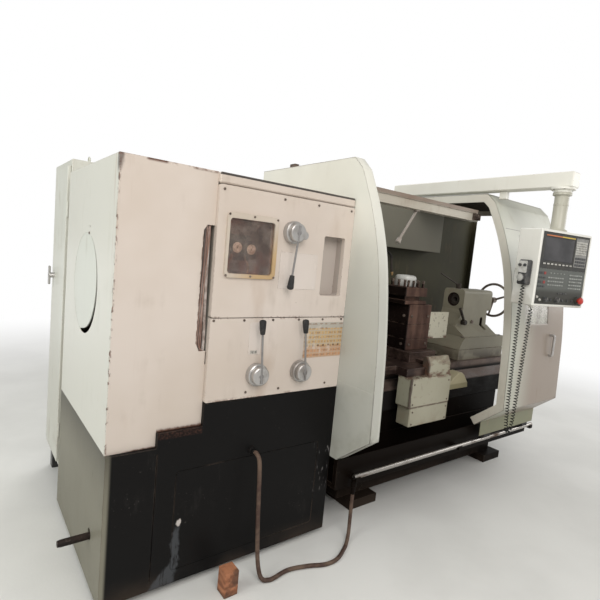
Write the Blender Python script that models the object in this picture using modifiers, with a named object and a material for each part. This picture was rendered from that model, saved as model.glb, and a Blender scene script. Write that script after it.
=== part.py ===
"""CNC turning lathe with a gear headstock, flat bed, four-way tool post, tailstock,
sliding splash guard and a control pendant on an overhead arm.

Metres, +Z up. X runs along the bed from the headstock to the tailstock and the front is
at -Y. Sizes are measured from the left end of the machine, the front of the end cover
and the floor. The last lines move the finished machine over its own origin.
"""

import math

import bmesh
import bpy
from mathutils import Matrix, Vector

for old in list(bpy.data.objects):
    bpy.data.objects.remove(old, do_unlink=True)

# Clearances
SEAT = 0.0003            # between faces that touch
RUN = 0.0006             # between faces that slide
SHEET = 0.003            # guard and cover sheet
WELD = 0.0008            # step between sheets welded edge to edge

# Main body
END_LENGTH = 0.438       # end cover along the bed
HEAD_LENGTH = 0.842      # headstock along the bed
BODY_DEPTH = 0.99
BODY_TOP = 2.00
LID = 0.05               # headstock top cover
PANEL = 0.028            # cast front panels
PANEL_FRONT = -0.02
PANEL_JOINT = 1.325      # height of the seam between the two panels
PLINTH_TOP = 0.91
LIFT_BAR_R = 0.026
PLINTH_GAP = 0.035       # air under the plinth
STEP_LENGTH = 0.22       # lower part of the end cover
LOW_STEP = 0.73
HIGH_STEP = 0.80

# Bed
BED_START = 0.162        # bed's left end inside the headstock
BED_RIGHT = 3.62
BED_FRONT = 0.19
BED_BACK = 0.75
BED_BOTTOM = 0.62
WAY_TOP = 0.90
WAY_WIDTH = 0.09
CHIP_DEPTH = 0.16        # channel between the ways
RIB_PITCH = 0.43

# Spindle
SPINDLE_Y = 0.47
SPINDLE_Z = 1.39
SPINDLE_R = 0.06
SPINDLE_BORE = 0.026
CHUCK_R = 0.185
NOSE_LENGTH = 0.08       # spindle nose in front of the headstock
CHUCK_LENGTH = 0.12
JAW_WIDTH = 0.04

# Guards and door
GUARD_STRIP = 0.07       # front strip of the left guard
GUARD_OPENING = 0.17     # radius of the hole round the spindle nose
REAR_WALL_Y = 0.86
REAR_WALL = 0.005
REAR_RIGHT = 3.78
DOOR_LEFT = 2.64
DOOR_LENGTH = 0.81
DOOR_FLANGE = 0.06
ROOF_BACK = 0.80         # rear edge of the sliding roof

# Tray and rail
TRAY_FRONT = -0.09
TRAY_TOP = 0.485
TRAY_FLOOR = 0.30
TRAY_RIGHT = 3.50
TRAY_WALL = 0.006
RAIL_Y = -0.14
RAIL_Z = 0.385
RAIL_R = 0.015
RAIL_START = 0.10        # from the headstock's right face

# Pedestal
PEDESTAL_LEFT = 1.55
PEDESTAL_RIGHT = 3.40
PEDESTAL_FRONT = 0.16
PEDESTAL_GAP = 0.05

# Carriage
SADDLE_LEFT = 1.81
SADDLE_RIGHT = 2.40
SADDLE_PLATE = 0.055
SLIDE_LEFT = 2.10
SLIDE_RIGHT = 2.40
SLIDE_HEIGHT = 0.075
DOVETAIL = 0.03
COLUMN_LEFT = 2.12
COLUMN_RIGHT = 2.38
COLUMN_TOP = 1.37
TURRET_X = 2.19
TURRET_Y = 0.325
TURRET_SIDE = 0.24
TURRET_HEIGHT = 0.125

# Tailstock
TAIL_LEFT = 2.85
TAIL_RIGHT = 3.53
HOUSING_LEFT = 3.04
HOUSING_RIGHT = 3.485
QUILL_R = 0.045
WHEEL_X = 3.69
WHEEL_R = 0.155

# Pendant
ARM_X = 2.70
ARM_SIDE = 0.10
ARM_GAP = 0.02           # over the guards
COLUMN_DROP = 0.29       # from the arm to the pendant case
PENDANT_Y = -0.485
PENDANT_WIDTH = 0.52
PENDANT_DEPTH = 0.165
PENDANT_HEIGHT = 0.495
PENDANT_TURN = math.radians(-10)

# Cabinet
CABINET_X = (0.02, 1.10)
CABINET_GAP = 0.07
CABINET_DEPTH = 0.54
CABINET_Z = (0.20, 2.09)

HEAD_RIGHT = END_LENGTH + HEAD_LENGTH
BED_LEFT = END_LENGTH + BED_START
CHUCK_LEFT = HEAD_RIGHT + NOSE_LENGTH
RAIL_LEFT = HEAD_RIGHT + RAIL_START
CABINET_Y = (BODY_DEPTH + CABINET_GAP, BODY_DEPTH + CABINET_GAP + CABINET_DEPTH)
GUARD_X = HEAD_RIGHT + SEAT
CASTING_FRONT = PANEL_FRONT + PANEL + SEAT
RAIL_RIGHT = TRAY_RIGHT
DOOR_RIGHT = DOOR_LEFT + DOOR_LENGTH
SADDLE_BOTTOM = WAY_TOP + RUN
SADDLE_TOP = SADDLE_BOTTOM + SADDLE_PLATE
SLIDE_BOTTOM = SADDLE_TOP + RUN
SLIDE_TOP = SLIDE_BOTTOM + SLIDE_HEIGHT
GLAND = (END_LENGTH + 0.292, PANEL_FRONT, 0.627)
HOSE_END = (RAIL_LEFT + 0.02, -0.125, 0.27)

# Front of the guards from the roof edge to the tray, as (y, z)
GUARD_FRONT = (
    (0.02, 2.235), (-0.05, 2.17), (-0.095, 2.08), (-0.165, 1.92), (-0.235, 1.70),
    (-0.275, 1.475), (-0.305, 1.19), (-0.318, 0.90), (-0.325, 0.68),
)
GUARD_ROOF = GUARD_FRONT[0][1]
ARM_BOTTOM = GUARD_ROOF + ARM_GAP
PENDANT_TOP = ARM_BOTTOM - COLUMN_DROP
PENDANT_BOTTOM = PENDANT_TOP - PENDANT_HEIGHT

machine = bpy.data.collections.new("cnc_turning_lathe")
bpy.context.scene.collection.children.link(machine)
shapes = bpy.data.collections.new("shapes")
bpy.context.scene.collection.children.link(shapes)


def paint(name, colour, roughness, metallic=0.0):
    """Principled material of one colour."""
    material = bpy.data.materials.new(name)
    material.use_nodes = True
    shader = material.node_tree.nodes["Principled BSDF"]
    shader.inputs["Base Color"].default_value = (*colour, 1.0)
    shader.inputs["Roughness"].default_value = roughness
    shader.inputs["Metallic"].default_value = metallic
    material.diffuse_color = (*colour, 1.0)
    return material


WHITE = paint("white_paint", (0.78, 0.74, 0.67), 0.45)
GREEN_WHITE = paint("green_white_paint", (0.66, 0.70, 0.62), 0.45)
OLIVE = paint("shaded_guard_paint", (0.42, 0.44, 0.36), 0.6)
BLACK = paint("black_paint", (0.03, 0.032, 0.034), 0.5)
GREY = paint("grey_casting_paint", (0.42, 0.44, 0.40), 0.5)
STEEL = paint("bright_steel", (0.62, 0.61, 0.60), 0.3, 1.0)
WAY_STEEL = paint("oiled_way_steel", (0.26, 0.22, 0.20), 0.4, 1.0)
CHROME = paint("chrome", (0.75, 0.75, 0.76), 0.12, 1.0)
BROWN_STEEL = paint("oily_tool_steel", (0.16, 0.09, 0.08), 0.45, 0.6)
RUBBER = paint("black_rubber", (0.02, 0.02, 0.02), 0.6)
PLASTIC = paint("black_plastic", (0.03, 0.03, 0.03), 0.4)
PANEL_GREY = paint("panel_grey", (0.16, 0.17, 0.17), 0.5)
RED = paint("red_button", (0.55, 0.03, 0.02), 0.35)
GLASS = paint("dark_glass", (0.10, 0.07, 0.06), 0.1)
YELLOWED = paint("yellowed_plastic", (0.62, 0.52, 0.36), 0.5)
WOOD = paint("timber", (0.42, 0.18, 0.07), 0.8)
HOSE = paint("hose_cover", (0.14, 0.11, 0.10), 0.7)


def shape_from(work):
    """Object in the shapes collection from a bmesh."""
    mesh = bpy.data.meshes.new("shape")
    work.to_mesh(mesh)
    work.free()
    shape = bpy.data.objects.new("shape", mesh)
    shapes.objects.link(shape)
    return shape


def baked(shape):
    """The shape with its modifiers, or its curve, turned into a plain welded mesh."""
    bpy.context.view_layer.update()
    graph = bpy.context.evaluated_depsgraph_get()
    mesh = bpy.data.meshes.new_from_object(shape.evaluated_get(graph))
    mesh.transform(shape.matrix_world)
    bpy.data.objects.remove(shape, do_unlink=True)
    work = bmesh.new()
    work.from_mesh(mesh)
    bmesh.ops.remove_doubles(work, verts=work.verts, dist=1e-6)
    bmesh.ops.recalc_face_normals(work, faces=work.faces)
    bpy.data.meshes.remove(mesh)
    return shape_from(work)


def box(x, y, z, bevel=0.0, segments=1):
    """Block between the two ends given for each axis, its edges bevelled."""
    work = bmesh.new()
    bmesh.ops.create_cube(work, size=1.0)
    ends = (x, y, z)
    bmesh.ops.scale(work, vec=[high - low for low, high in ends], verts=work.verts)
    bmesh.ops.translate(work, vec=[(low + high) / 2 for low, high in ends], verts=work.verts)
    if bevel:
        bmesh.ops.bevel(work, geom=work.edges[:], offset=bevel, segments=segments,
                        profile=0.5, affect="EDGES")
    return shape_from(work)


def rod(start, end, radius, sides=16, end_radius=None):
    """Straight round bar or cone between two points."""
    start, end = Vector(start), Vector(end)
    line = end - start
    turn = line.to_track_quat("Z", "Y").to_matrix().to_4x4()
    work = bmesh.new()
    bmesh.ops.create_cone(
        work, cap_ends=True, segments=sides, radius1=radius,
        radius2=radius if end_radius is None else end_radius, depth=line.length,
        matrix=Matrix.Translation((start + end) / 2) @ turn,
    )
    return shape_from(work)


AXES = {
    "Z": Matrix.Identity(4),
    "X": Matrix.Rotation(math.pi / 2, 4, "Y"),
    "-Y": Matrix.Rotation(math.pi / 2, 4, "X"),
    "-X": Matrix.Rotation(-math.pi / 2, 4, "Y"),
}


def turned(profile, place, axis="Z", steps=24, ring=False):
    """Profile of (radius, height) points swept round an axis, from the top down its outer side.

    A ring closes its profile without reaching the axis.
    """
    mesh = bpy.data.meshes.new("shape")
    count = len(profile)
    edges = [(i, i + 1) for i in range(count - 1)]
    if ring:
        edges.append((count - 1, 0))
    mesh.from_pydata([(radius, 0.0, height) for radius, height in profile], edges, [])
    shape = bpy.data.objects.new("shape", mesh)
    shapes.objects.link(shape)
    shape.matrix_world = Matrix.Translation(place) @ AXES[axis]
    screw = shape.modifiers.new("screw", "SCREW")
    screw.axis = "Z"
    screw.steps = steps
    screw.render_steps = steps
    screw.use_merge_vertices = True
    screw.merge_threshold = 1e-5
    screw.use_normal_calculate = True
    return baked(shape)


# Plane of a flat outline: the two coordinates of its points, then the extrusion
PLANES = {
    "X": Matrix(((0, 0, 1, 0), (1, 0, 0, 0), (0, 1, 0, 0), (0, 0, 0, 1))),
    "Y": Matrix(((1, 0, 0, 0), (0, 0, -1, 0), (0, 1, 0, 0), (0, 0, 0, 1))),
    "Z": Matrix.Identity(4),
}


def prism(outline, span, axis, holes=()):
    """Flat outline extruded along an axis between the two ends of span."""
    curve = bpy.data.curves.new("shape", "CURVE")
    curve.dimensions = "2D"
    curve.fill_mode = "BOTH"
    curve.extrude = abs(span[1] - span[0]) / 2
    for loop in (outline, *holes):
        spline = curve.splines.new("POLY")
        spline.points.add(len(loop) - 1)
        for point, (u, v) in zip(spline.points, loop):
            point.co = (u, v, 0.0, 1.0)
        spline.use_cyclic_u = True
    shape = bpy.data.objects.new("shape", curve)
    shapes.objects.link(shape)
    middle = {"X": (1, 0, 0), "Y": (0, 1, 0), "Z": (0, 0, 1)}[axis]
    shift = Matrix.Translation(Vector(middle) * (span[0] + span[1]) / 2)
    shape.matrix_world = shift @ PLANES[axis]
    return baked(shape)


def tube(points, radius, resolution=2):
    """Round tube along a line of points, with closed ends."""
    curve = bpy.data.curves.new("shape", "CURVE")
    curve.dimensions = "3D"
    curve.bevel_depth = radius
    curve.bevel_resolution = resolution
    curve.use_fill_caps = True
    spline = curve.splines.new("POLY")
    spline.points.add(len(points) - 1)
    for point, place in zip(spline.points, points):
        point.co = (*place, 1.0)
    shape = bpy.data.objects.new("shape", curve)
    shapes.objects.link(shape)
    return baked(shape)


def smooth(points, count):
    """Catmull-Rom curve through the points, with count points between each two."""
    points = [Vector(p) for p in points]
    padded = [2 * points[0] - points[1], *points, 2 * points[-1] - points[-2]]
    line = []
    for a, b, c, d in zip(padded, padded[1:], padded[2:], padded[3:]):
        for step in range(count):
            t = step / count
            line.append(0.5 * (2 * b + (c - a) * t + (2 * a - 5 * b + 4 * c - d) * t * t
                               + (3 * b - a - 3 * c + d) * t ** 3))
    line.append(points[-1])
    return line


def boolean(shape, tools, operation):
    """Joins or cuts a shape with tools, which are used up."""
    for tool in tools:
        modifier = shape.modifiers.new("boolean", "BOOLEAN")
        modifier.operation = operation
        modifier.solver = "EXACT"
        modifier.object = tool
    result = baked(shape)
    for tool in tools:
        bpy.data.objects.remove(tool, do_unlink=True)
    return result


def fuse(shape, *tools):
    return boolean(shape, tools, "UNION")


def cut(shape, *tools):
    return boolean(shape, tools, "DIFFERENCE")


def circle(centre, radius, count=32, start=0.0, sweep=2 * math.pi):
    """Points round a circle or an arc of it."""
    whole = abs(sweep) > 6.28
    last = count if whole else count - 1
    return [(centre[0] + radius * math.cos(start + sweep * i / last),
             centre[1] + radius * math.sin(start + sweep * i / last)) for i in range(count)]


def rounded(u, v, radius, count=4):
    """Rectangle between the ends of u and v with round corners."""
    corners = ((u[1], v[1], 0), (u[0], v[1], 1), (u[0], v[0], 2), (u[1], v[0], 3))
    outline = []
    for cu, cv, quarter in corners:
        side_u = radius if cu == u[0] else -radius
        side_v = radius if cv == v[0] else -radius
        outline += circle((cu + side_u, cv + side_v), radius, count, quarter * math.pi / 2, math.pi / 2)
    return outline


def offset(line, distance):
    """Open line moved to its left by the distance, corners mitred."""
    points = [Vector(p) for p in line]
    normals = [Vector((a.y - b.y, b.x - a.x)).normalized() for a, b in zip(points, points[1:])]
    moved = []
    for i, point in enumerate(points):
        before = normals[max(i - 1, 0)]
        after = normals[min(i, len(normals) - 1)]
        mitre = (before + after).normalized()
        moved.append(point + mitre * distance / max(mitre.dot(after), 0.2))
    return [tuple(p) for p in moved]


def strip(line, inner, outer=0.0):
    """Closed outline of a band on the left side of an open line."""
    return offset(line, outer) + offset(line, inner)[::-1]


def body(name, place, parent=None, turn=0.0):
    """Empty on a joint's axis that carries the pieces which move with it."""
    empty = bpy.data.objects.new(name, None)
    empty.empty_display_size = 0.1
    machine.objects.link(empty)
    home = Vector(place)
    empty["home"] = tuple(home)
    if parent:
        empty.parent = parent
        home = home - Vector(parent["home"])
    empty.location = home
    empty.rotation_euler[2] = turn
    return empty


def part(name, shape, material, carrier=None, origin=None):
    """Finished piece: named, painted, its origin on its joint's axis and hung on its carrier."""
    home = Vector(origin or (carrier["home"] if carrier else (0, 0, 0)))
    mesh = shape.data
    mesh.transform(Matrix.Translation(-home))
    mesh.materials.clear()
    mesh.materials.append(material)
    mesh.shade_smooth()
    mesh.set_sharp_from_angle(angle=math.radians(32))
    mesh.name = name
    shape.name = name
    shapes.objects.unlink(shape)
    machine.objects.link(shape)
    if carrier:
        shape.parent = carrier
        home = home - Vector(carrier["home"])
    shape.location = home
    return shape


# Front line of the guards, made smooth, and the same line carried back along the roof
front_line = [GUARD_FRONT[0]] + [tuple(p) for p in smooth(GUARD_FRONT[1:], 2)]


def guard_line(back, foot):
    """Guard section from the back of its roof, over the front, to its foot."""
    return [(back, GUARD_ROOF)] + front_line + [foot]


# Black plinth under the headstock and the gear end, on two cross skids
def make_plinth():
    front = PANEL_FRONT
    outline = [
        (0.0, PLINTH_GAP), (HEAD_RIGHT, PLINTH_GAP), (HEAD_RIGHT, PLINTH_TOP),
        (END_LENGTH + SEAT, PLINTH_TOP), (END_LENGTH + SEAT, HIGH_STEP - SEAT),
        (STEP_LENGTH, HIGH_STEP - SEAT), (STEP_LENGTH, LOW_STEP - SEAT), (0.0, LOW_STEP - SEAT),
    ]
    plinth = prism(outline, (front, BODY_DEPTH), "Y")
    skids = [box((x, x + 0.2), (0.03, BODY_DEPTH - 0.04), (0.0, PLINTH_GAP + 0.01))
             for x in (0.1, HEAD_RIGHT - 0.3)]
    bed_space = box((BED_LEFT - SEAT, HEAD_RIGHT + 0.1), (BED_FRONT - SEAT, BED_BACK + SEAT),
                    (BED_BOTTOM - SEAT, PLINTH_TOP + 0.1))
    ledge_space = box((BED_LEFT - SEAT, HEAD_RIGHT + 0.1), (BED_FRONT - 0.04 - SEAT, BED_FRONT),
                      (BED_BOTTOM - SEAT, WAY_TOP - 0.06))
    seam = box((STEP_LENGTH + 0.003, STEP_LENGTH + 0.007), (front - 0.1, front + 0.006), (0.08, 0.70))
    hatch = prism(rounded((0.32, HEAD_RIGHT - 0.1), (0.10, 0.60), 0.02), (front - 0.1, front + 0.003), "Y",
                  [rounded((0.324, HEAD_RIGHT - 0.104), (0.104, 0.596), 0.017)])
    bar_hole = rod((-0.1, 0.183, 0.275), (0.25, 0.183, 0.275), LIFT_BAR_R + SEAT, 20)
    gland = turned([(0.0, 0.03), (0.014, 0.03), (0.016, 0.026), (0.016, 0.012), (0.022, 0.010), (0.022, -0.002),
                    (0.0, -0.002)], GLAND, "-Y", 16)
    part("plinth", cut(fuse(plinth, *skids, gland), bed_space, ledge_space, seam, hatch, bar_hole), BLACK)


make_plinth()
part("lifting_bar", rod((-0.136, 0.183, 0.275), (0.25 - SEAT, 0.183, 0.275), LIFT_BAR_R, 20), BROWN_STEEL)
part("packing_block", box((0.49, 0.60), (-0.21, PANEL_FRONT - SEAT), (0.0, 0.085), 0.004), WOOD)


# Cast bed: two shears with the ways on top, a chip channel with ribs between them
def make_bed():
    inner_front = BED_FRONT + WAY_WIDTH
    inner_back = BED_BACK - WAY_WIDTH
    floor = WAY_TOP - CHIP_DEPTH
    outline = [
        (BED_FRONT - 0.04, BED_BOTTOM), (BED_BACK, BED_BOTTOM), (BED_BACK, WAY_TOP),
        (inner_back, WAY_TOP), (inner_back, WAY_TOP - 0.04), (inner_back - 0.03, WAY_TOP - 0.07),
        (inner_back - 0.03, floor), (inner_front + 0.03, floor), (inner_front + 0.03, WAY_TOP - 0.07),
        (inner_front, WAY_TOP - 0.04), (inner_front, WAY_TOP), (BED_FRONT, WAY_TOP),
        (BED_FRONT, WAY_TOP - 0.07), (BED_FRONT - 0.04, WAY_TOP - 0.13),
    ]
    bed = prism(outline, (BED_LEFT, BED_RIGHT), "X")
    count = max(2, round((BED_RIGHT - HEAD_RIGHT) / RIB_PITCH))
    pitch = (BED_RIGHT - HEAD_RIGHT) / count
    ribs = [
        box((HEAD_RIGHT + pitch * (i + 1) - 0.05, HEAD_RIGHT + pitch * (i + 1) - 0.02),
            (inner_front + 0.02, inner_back - 0.02), (floor - 0.01, WAY_TOP - 0.075))
        for i in range(count)
    ]
    pockets = [
        prism(rounded((HEAD_RIGHT + pitch * i + 0.07, HEAD_RIGHT + pitch * (i + 1) - 0.07),
                      (BED_BOTTOM + 0.03, BED_BOTTOM + 0.11), 0.02),
              (BED_BACK - 0.03, BED_BACK + 0.1), "Y")
        for i in range(count)
    ]
    part("bed", cut(fuse(bed, *ribs), *pockets), WAY_STEEL)


make_bed()


# Black pedestal under the bed, on two cross feet
def make_pedestal():
    x = (PEDESTAL_LEFT, PEDESTAL_RIGHT)
    y = (PEDESTAL_FRONT, REAR_WALL_Y - SEAT)
    pedestal = box(x, y, (PEDESTAL_GAP, BED_BOTTOM - SEAT), 0.008)
    feet = [box((left, left + 0.25), (0.08, REAR_WALL_Y - SEAT), (0.0, PEDESTAL_GAP + 0.01))
            for left in (PEDESTAL_LEFT + 0.05, PEDESTAL_RIGHT - 0.20)]
    part("bed_pedestal", fuse(pedestal, *feet), BLACK)


make_pedestal()


# Sheet tray for chips in front of the pedestal, with cradles for the door rail
def make_tray():
    line = [(TRAY_FRONT, TRAY_TOP), (TRAY_FRONT, TRAY_FLOOR), (PEDESTAL_FRONT - SEAT, TRAY_FLOOR),
            (PEDESTAL_FRONT - SEAT, TRAY_FLOOR + 0.16)]
    left = GUARD_X + SHEET + SEAT
    tray = prism(strip(line, TRAY_WALL), (left, TRAY_RIGHT), "X")
    ends = [prism(strip(line, 0.03, WELD), (x, x + TRAY_WALL), "X")
            for x in (left + WELD, TRAY_RIGHT - TRAY_WALL - WELD)]
    cradles = []
    for x in (RAIL_LEFT + 0.02, (RAIL_LEFT + RAIL_RIGHT) / 2 - 0.01, RAIL_RIGHT - 0.04):
        cradles.append(box((x - 0.02, x + 0.02), (RAIL_Y - 0.022, TRAY_FRONT + 0.002),
                           (RAIL_Z - 0.026, RAIL_Z - 0.002)))
    x, y, z = HOSE_END
    top = RAIL_Z - 0.024
    fitting = turned([(0.0, top), (0.014, top), (0.014, top - 0.02), (0.018, top - 0.024), (0.018, top - 0.045),
                      (0.013, top - 0.05), (0.013, z), (0.0, z)], (x, y, 0.0), "Z", 16)
    rail_space = rod((RAIL_LEFT - 0.1, RAIL_Y, RAIL_Z), (RAIL_RIGHT + 0.1, RAIL_Y, RAIL_Z),
                     RAIL_R + SEAT, 20)
    part("chip_tray", cut(fuse(tray, *ends, *cradles, fitting), rail_space), BLACK)


make_tray()
part("lower_rail", rod((RAIL_LEFT, RAIL_Y, RAIL_Z), (RAIL_RIGHT, RAIL_Y, RAIL_Z), RAIL_R, 20), CHROME)


# Headstock casting with the window pocket, the recess and the spindle bore
WINDOW_X = (END_LENGTH + 0.062, END_LENGTH + 0.312)
WINDOW_Z = (1.54, 1.80)
RECESS_X = (HEAD_RIGHT - 0.20, HEAD_RIGHT - 0.05)
RECESS_Z = (1.445, 1.77)
WINDOW_DEPTH = 0.12


def make_headstock():
    left = END_LENGTH + SEAT
    y = (CASTING_FRONT, BODY_DEPTH)
    casting = box((left, HEAD_RIGHT), y, (PLINTH_TOP + SEAT, BODY_TOP - LID - SEAT))
    keel = box((BED_LEFT, HEAD_RIGHT), (BED_FRONT, BED_BACK), (WAY_TOP + SEAT, PLINTH_TOP + 0.02))
    window = prism(rounded(WINDOW_X, WINDOW_Z, 0.02), (CASTING_FRONT - 0.1, CASTING_FRONT + WINDOW_DEPTH), "Y")
    recess = prism(rounded(RECESS_X, RECESS_Z, 0.012), (CASTING_FRONT - 0.1, CASTING_FRONT + 0.04), "Y")
    bore = rod((left - 0.1, SPINDLE_Y, SPINDLE_Z), (HEAD_RIGHT + 0.1, SPINDLE_Y, SPINDLE_Z),
               SPINDLE_R + RUN, 32)
    part("headstock_casting", cut(fuse(casting, keel), window, recess, bore), GREY)

    lid = box((left, HEAD_RIGHT), (PANEL_FRONT, BODY_DEPTH), (BODY_TOP - LID, BODY_TOP), 0.006)
    part("headstock_lid", lid, WHITE)

    span = (PANEL_FRONT, PANEL_FRONT + PANEL)
    upper = prism(rounded((left, HEAD_RIGHT), (PANEL_JOINT + 0.002, BODY_TOP - LID - 0.004), 0.01), span, "Y",
                  [rounded((WINDOW_X[0] - 0.008, WINDOW_X[1] + 0.008), (WINDOW_Z[0] - 0.008, WINDOW_Z[1] + 0.008),
                           0.02),
                   rounded(RECESS_X, RECESS_Z, 0.012)])
    part("upper_panel", upper, WHITE)
    lower = prism(rounded((left, HEAD_RIGHT), (PLINTH_TOP + 0.004, PANEL_JOINT - 0.002), 0.01), span, "Y")
    part("lower_panel", lower, WHITE)


make_headstock()


# Window in the upper panel: frame, pane and the two gauges behind it
def make_window():
    back = PANEL_FRONT - SEAT
    frame = prism(rounded((WINDOW_X[0] - 0.015, WINDOW_X[1] + 0.02), (WINDOW_Z[0] - 0.02, WINDOW_Z[1] + 0.027), 0.025),
                  (back - 0.01, back), "Y", [rounded(WINDOW_X, WINDOW_Z, 0.015)])
    part("window_frame", frame, YELLOWED)
    edge = 0.008 - SEAT
    pane = prism(rounded((WINDOW_X[0] - edge, WINDOW_X[1] + edge), (WINDOW_Z[0] - edge, WINDOW_Z[1] + edge), 0.02),
                 (PANEL_FRONT, PANEL_FRONT + 0.005), "Y")
    part("window_pane", pane, GLASS)
    wall = CASTING_FRONT + WINDOW_DEPTH - SEAT
    face = CASTING_FRONT + 0.02
    left = WINDOW_X[0]
    plate = box((left + 0.03, left + 0.20), (wall - 0.008, wall), (1.60, 1.73), 0.002)
    cases = [
        turned([(0.0, 0.0), (0.026, 0.0), (0.026, -0.003), (0.032, -0.003), (0.034, -0.008), (0.034, -0.03),
                (0.012, -0.034), (0.012, face - wall + 0.004), (0.0, face - wall + 0.004)],
               (x, face, z), "-Y", 14)
        for x, z in ((left + 0.076, 1.665), (left + 0.155, 1.66))
    ]
    part("gauge_cluster", fuse(plate, *cases), PLASTIC)


make_window()


# Gear levers: two stacked discs, a thin rod and a tapered knob, each turning on its shaft
def make_lever(name, x, z, knob_x, knob_z):
    face = PANEL_FRONT - RUN
    axis = (x, face, z)
    lever = body(name + "_axis", axis)
    hub = turned([(0.0, 0.062), (0.031, 0.062), (0.036, 0.056), (0.036, 0.034), (0.051, 0.034), (0.055, 0.029),
                  (0.055, 0.0), (0.0, 0.0)], axis, "-Y", 20)
    rod_y = face - 0.046
    line = Vector((knob_x - x, 0.0, knob_z - z)).normalized()
    centre = Vector((x, rod_y, z))
    knob = Vector((knob_x, rod_y, knob_z))
    stem = rod(centre + line * 0.02, knob, 0.006, 10)
    grip = rod(knob - line * 0.034, knob + line * 0.034, 0.012, 14, 0.018)
    part(name, fuse(hub, stem, grip), STEEL, lever)


LEVERS = {
    "range_lever": (END_LENGTH + 0.424, 1.766, END_LENGTH + 0.401, 1.516),
    "speed_lever_left": (END_LENGTH + 0.272, 1.036, END_LENGTH + 0.264, 1.282),
    "speed_lever_right": (END_LENGTH + 0.546, 1.033, END_LENGTH + 0.533, 1.281),
}
for lever_name, lever_places in LEVERS.items():
    make_lever(lever_name, *lever_places)


# End cover: sheet shell over the gear end, with the round cover in its left face
ROUND_Y = 0.505
ROUND_Z = 1.42
ROUND_R = 0.245


def make_end_cover():
    outline = [(0.0, LOW_STEP), (STEP_LENGTH, LOW_STEP), (STEP_LENGTH, HIGH_STEP), (END_LENGTH, HIGH_STEP),
               (END_LENGTH, BODY_TOP), (0.0, BODY_TOP)]
    inside = [(SHEET, LOW_STEP - 0.1), (STEP_LENGTH + SHEET, LOW_STEP - 0.1), (STEP_LENGTH + SHEET, HIGH_STEP - 0.1),
              (END_LENGTH + 0.1, HIGH_STEP - 0.1), (END_LENGTH + 0.1, BODY_TOP - SHEET), (SHEET, BODY_TOP - SHEET)]
    shell = cut(prism(outline, (0.0, BODY_DEPTH), "Y"),
                prism(inside, (SHEET, BODY_DEPTH - SHEET), "Y"))
    side = END_LENGTH - 0.054
    slot = [(END_LENGTH + 0.1, 1.755), (side + 0.016, 1.755), (side, 1.73), (side, 1.20), (side + 0.016, 1.165),
            (side + 0.049, 1.165), (side + 0.049, 1.10), (END_LENGTH + 0.1, 1.10)]
    slot_space = prism(slot, (-0.1, 0.01), "Y")
    hole = rod((-0.1, ROUND_Y, ROUND_Z), (0.1, ROUND_Y, ROUND_Z), ROUND_R + 0.005, 48)
    pin_hole = rod((-0.1, 0.449, 1.70), (0.1, 0.449, 1.70), 0.006, 12)
    part("end_cover", cut(shell, slot_space, hole, pin_hole), WHITE)
    lid = turned([(0.0, 0.0), (ROUND_R, 0.0), (ROUND_R, -SHEET - SEAT), (ROUND_R + 0.02, -SHEET - SEAT),
                  (ROUND_R + 0.02, -SHEET - 0.004), (0.0, -SHEET - 0.004)], (0.0, ROUND_Y, ROUND_Z), "-X", 40)
    part("round_cover", lid, WHITE)


make_end_cover()


# Cables and hose that run down inside the slot of the end cover and into the casting
def make_slot_line(name, x, y, radius, top, bottom, material):
    wall = END_LENGTH
    half = [(wall, 0.0), (wall - 0.006, 0.0), (wall - 0.012, 0.0), (x, 0.03), (x, 0.10)]
    route = [(u, y, top - drop) for u, drop in half] + [(u, y, bottom + drop) for u, drop in half[::-1]]
    part(name, tube(smooth(route, 2), radius), material)


make_slot_line("slot_cable", END_LENGTH - 0.041, 0.024, 0.011, 1.82, 1.08, HOSE)
make_slot_line("slot_hose", END_LENGTH - 0.020, 0.016, 0.008, 1.78, 1.13, STEEL)


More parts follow.
